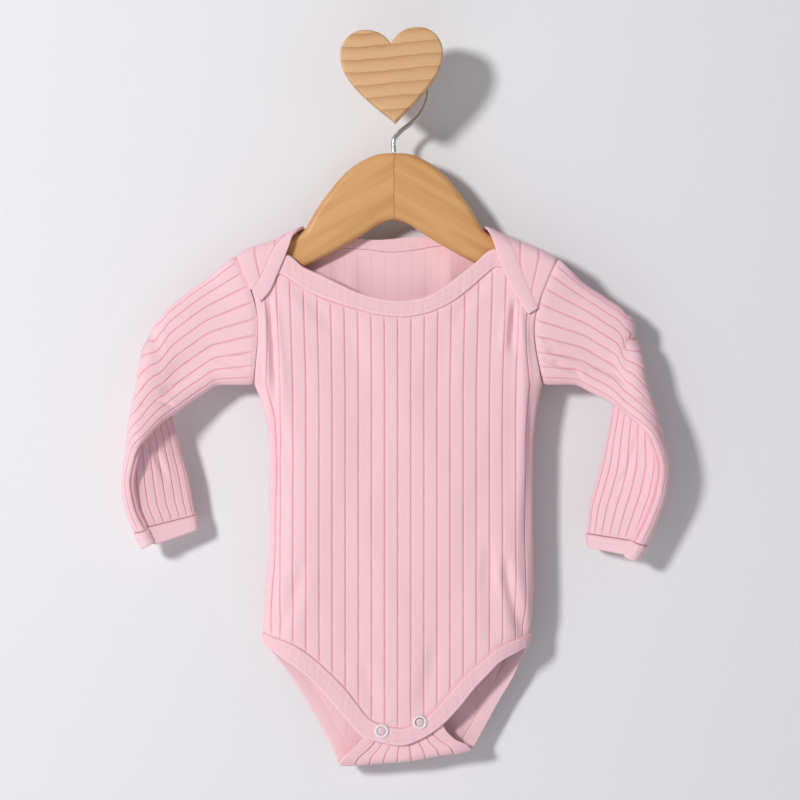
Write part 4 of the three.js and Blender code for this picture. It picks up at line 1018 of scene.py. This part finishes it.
def sleeves():
    for which in SLEEVES:
        sleeve = Sleeve(which)
        turn, u = tube_turns(COLUMN_SHARES)
        n = np.linspace(0, sleeve.cuff, SLEEVE_ROWS)
        base = np.stack([sleeve.row(value, turn) for value in n])
        moved = creases(n[:, None], turn[None, :], SLEEVE_CREASES[which])
        moved = moved + unevenness(turn[None, :] * 130, n[:, None] * 16, BODY_WAVES)
        before_cuff = 1 - smooth(sleeve.cuff - 0.35, sleeve.cuff, n)
        moved = moved * smooth(0, 0.25, n)[:, None] * before_cuff[:, None]
        moved = moved - 0.5 * (1 - smooth(0, 0.1, n))[:, None]
        ribbed = smooth(0, 0.12, n) * (1 - smooth(sleeve.cuff - 0.15, sleeve.cuff, n))
        fade = ribbed[:, None] + 0 * turn[None, :]
        present = np.ones((SLEEVE_ROWS - 1, len(turn)), bool)
        made = cloth_shell(f"sleeve_{which}_cloth", base, u, present, True, sleeve.outward, moved, fade,
                           replaces=[f"sleeve_{which}"], **KNIT)
        make_cuff(which, sleeve, turn)


def make_cuff(which, sleeve, turn):
    share = np.linspace(0, 1, CUFF_ROWS)
    n = sleeve.cuff + CUFF_GAP[which] + (1 - CUFF_GAP[which]) * share
    base = np.stack([sleeve.row(value, turn) for value in n])
    normals = grid_normals(base, True) * sleeve.outward
    travelled = turn * 84
    beat = np.abs(np.sin(math.pi * travelled / STITCH))[None, :]
    near = sum(np.exp(-(((share - line) / 0.05) ** 2)) for line in (0.12, 0.42))[:, None]
    edge = np.sqrt(np.maximum(1 - (2 * share - 1) ** 8, 0))[:, None]
    up = 0.95 * edge - 0.25 * near * (1 - beat) + 0.12 * beat * near
    outer = base + normals * up[..., None]
    inner = base - normals * (0.8 * edge + 0 * up)[..., None]
    # Painted shade along the cuff's seam and in the needle holes between stitches.
    groove = np.clip(0.95 * np.exp(-((share / 0.05) ** 2))[:, None] + 0.35 * near * (1 - beat), 0, 1)
    present = np.ones((CUFF_ROWS - 1, len(turn)), bool)
    shell(f"cuff_{which}_band", outer, inner, present, True, sleeve.outward, groove, weave_of(base),
          replaces=[f"cuff_{which}"], **BINDING)


# Hard pieces
def plate(name, outline, back, thick, rounding, **kind):
    """A board with rounded edges from a closed outline of (x, z), standing out from back towards -Y."""
    outline = np.array(outline)
    along = unit(np.roll(outline, -1, axis=0) - np.roll(outline, 1, axis=0))
    inward = np.stack([-along[:, 1], along[:, 0]], -1)
    area = np.sum(outline[:, 0] * np.roll(outline[:, 1], -1) - outline[:, 1] * np.roll(outline[:, 0], -1))
    if area < 0:
        outline, inward = outline[::-1], -inward[::-1]
    angles = np.radians(np.linspace(-90, 90, 15))
    rings = []
    for a in angles:
        flat = outline + inward * rounding * (1 - math.cos(a))
        reach = (thick / 2 - rounding) * np.sign(a) + rounding * math.sin(a)
        rings.append(points(flat[:, 0], -back - thick / 2 - reach, flat[:, 1]))
    count = len(outline)
    faces = [list(range(count))]
    for k in range(len(rings) - 1):
        for i in range(count):
            j = (i + 1) % count
            faces.append([k * count + i, (k + 1) * count + i, (k + 1) * count + j, k * count + j])
    faces.append([(len(rings) - 1) * count + i for i in reversed(range(count))])
    made = make_mesh(name, np.concatenate(rings), faces, sharp=40, **kind)
    shape = bmesh.new()
    shape.from_mesh(made.data)
    bmesh.ops.triangulate(shape, faces=[f for f in shape.faces if len(f.verts) > 4])
    bmesh.ops.recalc_face_normals(shape, faces=shape.faces)
    shape.to_mesh(made.data)
    shape.free()
    return made


HANGER_HALF = [
    (0, -57.5), (8, -57.8), (14, -59.3), (24.7, -64.7), (33.7, -72), (42.4, -82.3), (51.3, -94.5),
    (56.5, -103.5), (60.5, -109.6), (70, -114.6), (86, -121), (97, -125.4), (105, -130.4), (118, -140.4),
    (130, -149), (137, -153.9), (143.3, -160), (146, -165), (144.8, -170.3), (139.5, -172.8),
    (133, -171.5), (110, -159.5), (86.7, -147.3), (60, -134), (40, -123.4), (20, -111.6), (8, -104),
    (0, -101.8),
]


def hanger():
    right = smooth_line(HANGER_HALF, 150)
    left = right[1:-1][::-1] * [-1, 1]
    plate("hanger_board", np.concatenate([right, left]), MIDDLE - HANGER_THICK / 2, HANGER_THICK, HANGER_ROUND,
          material=hanger_wood, slot="hanger_wood", replaces=["hanger"])


def heart():
    def bezier(*corners):
        t = np.linspace(0, 1, 34, endpoint=False)[:, None]
        a, b, c, d = (np.array(p, float) for p in corners)
        return (1 - t) ** 3 * a + 3 * t * (1 - t) ** 2 * b + 3 * t * t * (1 - t) * c + t**3 * d

    halves = [
        bezier((0, 16.2), (3.4, 22), (9.7, 26), (17, 26)),
        bezier((17, 26), (26.8, 26), (33.7, 18.6), (33.7, 9.1)),
        bezier((33.7, 9.1), (33.7, -5.7), (17.5, -19.6), (0, -35.3)),
        bezier((0, -35.3), (-17.5, -19.6), (-33.7, -5.7), (-33.7, 9.1)),
        bezier((-33.7, 9.1), (-33.7, 18.6), (-26.8, 26), (-17, 26)),
        bezier((-17, 26), (-9.7, 26), (-3.4, 22), (0, 16.2)),
    ]
    outline = np.concatenate(halves)
    c, s = math.cos(HEART_TILT), math.sin(HEART_TILT)
    turned = outline @ np.array([[c, s], [-s, c]]) + HEART_PLACE
    plate("heart_plate", turned, HEART_BACK, HEART_THICK, HEART_ROUND,
          material=peg_pine, slot="peg_wood", replaces=["peg_heart"])


HOOK_NECK = [(0, -57.1), (-0.2, -49), (3.8, -43.3), (11.3, -37.3), (17.7, -30.3), (21.4, -22.8)]
HOOK_CENTRE = (1, DOWEL_RADIUS + 0.35 + HOOK_WIRE / 2 - HOOK_RADIUS)


def hook():
    angles = np.radians(np.linspace(-8, 185, 15))
    bend_x = HOOK_CENTRE[0] + HOOK_RADIUS * np.cos(angles)
    bend_z = HOOK_CENTRE[1] + HOOK_RADIUS * np.sin(angles)
    bend = np.stack([bend_x, bend_z], -1)
    line = smooth_line(HOOK_NECK + bend.tolist(), 220)
    along = unit(np.gradient(line, axis=0))
    beside = np.stack([-along[:, 1], along[:, 0]], -1)
    turns = np.linspace(0, 2 * math.pi, 20, endpoint=False)
    radius = HOOK_WIRE / 2
    vertices, faces = [], []
    for place, aside in zip(line, beside):
        flat = place + aside * (radius * np.cos(turns))[:, None]
        vertices.append(points(flat[:, 0], -MIDDLE + radius * np.sin(turns), flat[:, 1]))
    count = len(turns)
    for k in range(len(line) - 1):
        for i in range(count):
            j = (i + 1) % count
            faces.append([k * count + i, k * count + j, (k + 1) * count + j, (k + 1) * count + i])
    faces += [list(reversed(range(count))), [(len(line) - 1) * count + i for i in range(count)]]
    make_mesh("hook_wire", np.concatenate(vertices), faces, chrome, "hook_chrome", ["hanger_hook"], sharp=40)


SNAPS = {"left": (-8.1, -441.3), "right": (17.2, -435.5)}
RING_PROFILE = [(3, 0), (3.1, 0.7), (3.4, 1.15), (3.8, 1.32), (4.2, 1.25), (4.55, 0.9), (4.75, 0.4), (4.75, 0), (3, 0)]
CENTRE_PROFILE = [(0, 1.0), (1.2, 0.97), (2.1, 0.82), (2.6, 0.5), (2.7, 0)]


def lathe(name, profile, x, seat, z, **kind):
    """A profile of (radius, height) turned about a line that points out of the cloth."""
    turns = np.linspace(0, 2 * math.pi, 48, endpoint=False)
    vertices = [points(x + r * np.cos(turns), seat - h, z + r * np.sin(turns)) for r, h in profile]
    count = len(turns)
    faces = []
    for k in range(len(profile) - 1):
        for i in range(count):
            j = (i + 1) % count
            faces.append([k * count + i, k * count + j, (k + 1) * count + j, (k + 1) * count + i])
    made = make_mesh(name, np.concatenate(vertices), faces, sharp=50, **kind)
    shape = bmesh.new()
    shape.from_mesh(made.data)
    bmesh.ops.remove_doubles(shape, verts=shape.verts, dist=1e-6)
    bmesh.ops.holes_fill(shape, edges=shape.edges)
    bmesh.ops.recalc_face_normals(shape, faces=shape.faces)
    shape.to_mesh(made.data)
    shape.free()


def snaps():
    for which, (x, z) in SNAPS.items():
        seat = float(front_point(x, z)[1]) - BINDING_RISE + 0.25
        lathe(f"snap_{which}_ring", RING_PROFILE, x, seat, z,
              material=ring_enamel, slot="snap_ring", replaces=[f"snap_ring_{which}"])
        lathe(f"snap_{which}_centre", CENTRE_PROFILE, x, seat, z,
              material=centre_enamel, slot="snap_centre", replaces=[f"snap_centre_{which}"])


front = front_panel()
back = back_panel()
bindings()
sleeves()
hanger()
heart()
hook()
snaps()
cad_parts["peg_dowel"].data.materials.clear()
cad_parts["peg_dowel"].data.materials.append(peg_pine)


# Stage
def stage_plane(name, corners, material):
    mesh = bpy.data.meshes.new(name)
    mesh.from_pydata([[c * MM for c in corner] for corner in corners], [], [[0, 1, 2, 3]])
    mesh.materials.append(material)
    made = bpy.data.objects.new(name, mesh)
    bpy.context.scene.collection.objects.link(made)


def wall_material(name, colour, see_through):
    n = Nodes(name)
    where = n.add("ShaderNodeTexCoord").outputs["Object"]
    grain = n.noise(n.scaled(where, (1000, 1000, 1000)), 0.25, 4)
    n.set(Base_Color=colour, Roughness=0.9, Normal=n.bump(grain, 0.12, 0.0006))
    if see_through:
        clear = n.add("ShaderNodeBsdfTransparent")
        either = n.add("ShaderNodeMixShader", {0: n.add("ShaderNodeNewGeometry").outputs["Backfacing"]})
        n.link(n.shader.outputs[0], either.inputs[1])
        n.link(clear.outputs[0], either.inputs[2])
        n.link(either.outputs[0], n.out.inputs[0])
    return n.material


WALL = 1.5  # the wall's face, just behind the peg's
FLOOR = -1150.0
SPAN = 6000.0
stage_plane("wall", [(-SPAN, WALL, FLOOR), (SPAN, WALL, FLOOR), (SPAN, WALL, SPAN), (-SPAN, WALL, SPAN)],
            wall_material("wall_paint", (0.83, 0.83, 0.85, 1), True))
stage_plane("floor", [(-SPAN, -SPAN, FLOOR), (SPAN, -SPAN, FLOOR), (SPAN, WALL, FLOOR), (-SPAN, WALL, FLOOR)],
            wall_material("floor_paint", (0.8, 0.8, 0.81, 1), False))

world = bpy.data.worlds.new("studio")
bpy.context.scene.world = world
world.use_nodes = True
world.node_tree.nodes["Background"].inputs[0].default_value = (0.93, 0.95, 1, 1)
world.node_tree.nodes["Background"].inputs[1].default_value = 0.255
bpy.context.scene.view_settings.view_transform = "Standard"


def area_light(name, place, aim, size, watts, colour):
    lamp = bpy.data.lights.new(name, "AREA")
    lamp.shape = "DISK"
    lamp.size, lamp.energy, lamp.color = size, watts, colour
    made = bpy.data.objects.new(name, lamp)
    bpy.context.scene.collection.objects.link(made)
    made.location = place
    direction = np.array(aim) - np.array(place)
    pitch = math.atan2(math.hypot(direction[0], direction[1]), -direction[2])
    made.rotation_euler = (pitch, 0, math.atan2(-direction[0], direction[1]))


area_light("key", (-1.55, -2.3, 0.42), (0, 0, -0.22), 0.42, 54, (1, 0.985, 0.975))
area_light("fill", (1.9, -2.2, -0.1), (0, 0, -0.24), 1.6, 3.2, (1, 0.98, 0.97))

camera = bpy.data.objects.new("camera", bpy.data.cameras.new("camera"))
bpy.context.scene.collection.objects.link(camera)
camera.location = (0.004, -1.622, -0.222)
camera.rotation_euler = (math.radians(90), 0, 0)
camera.data.sensor_width = 36
camera.data.lens = 108
bpy.context.scene.camera = camera
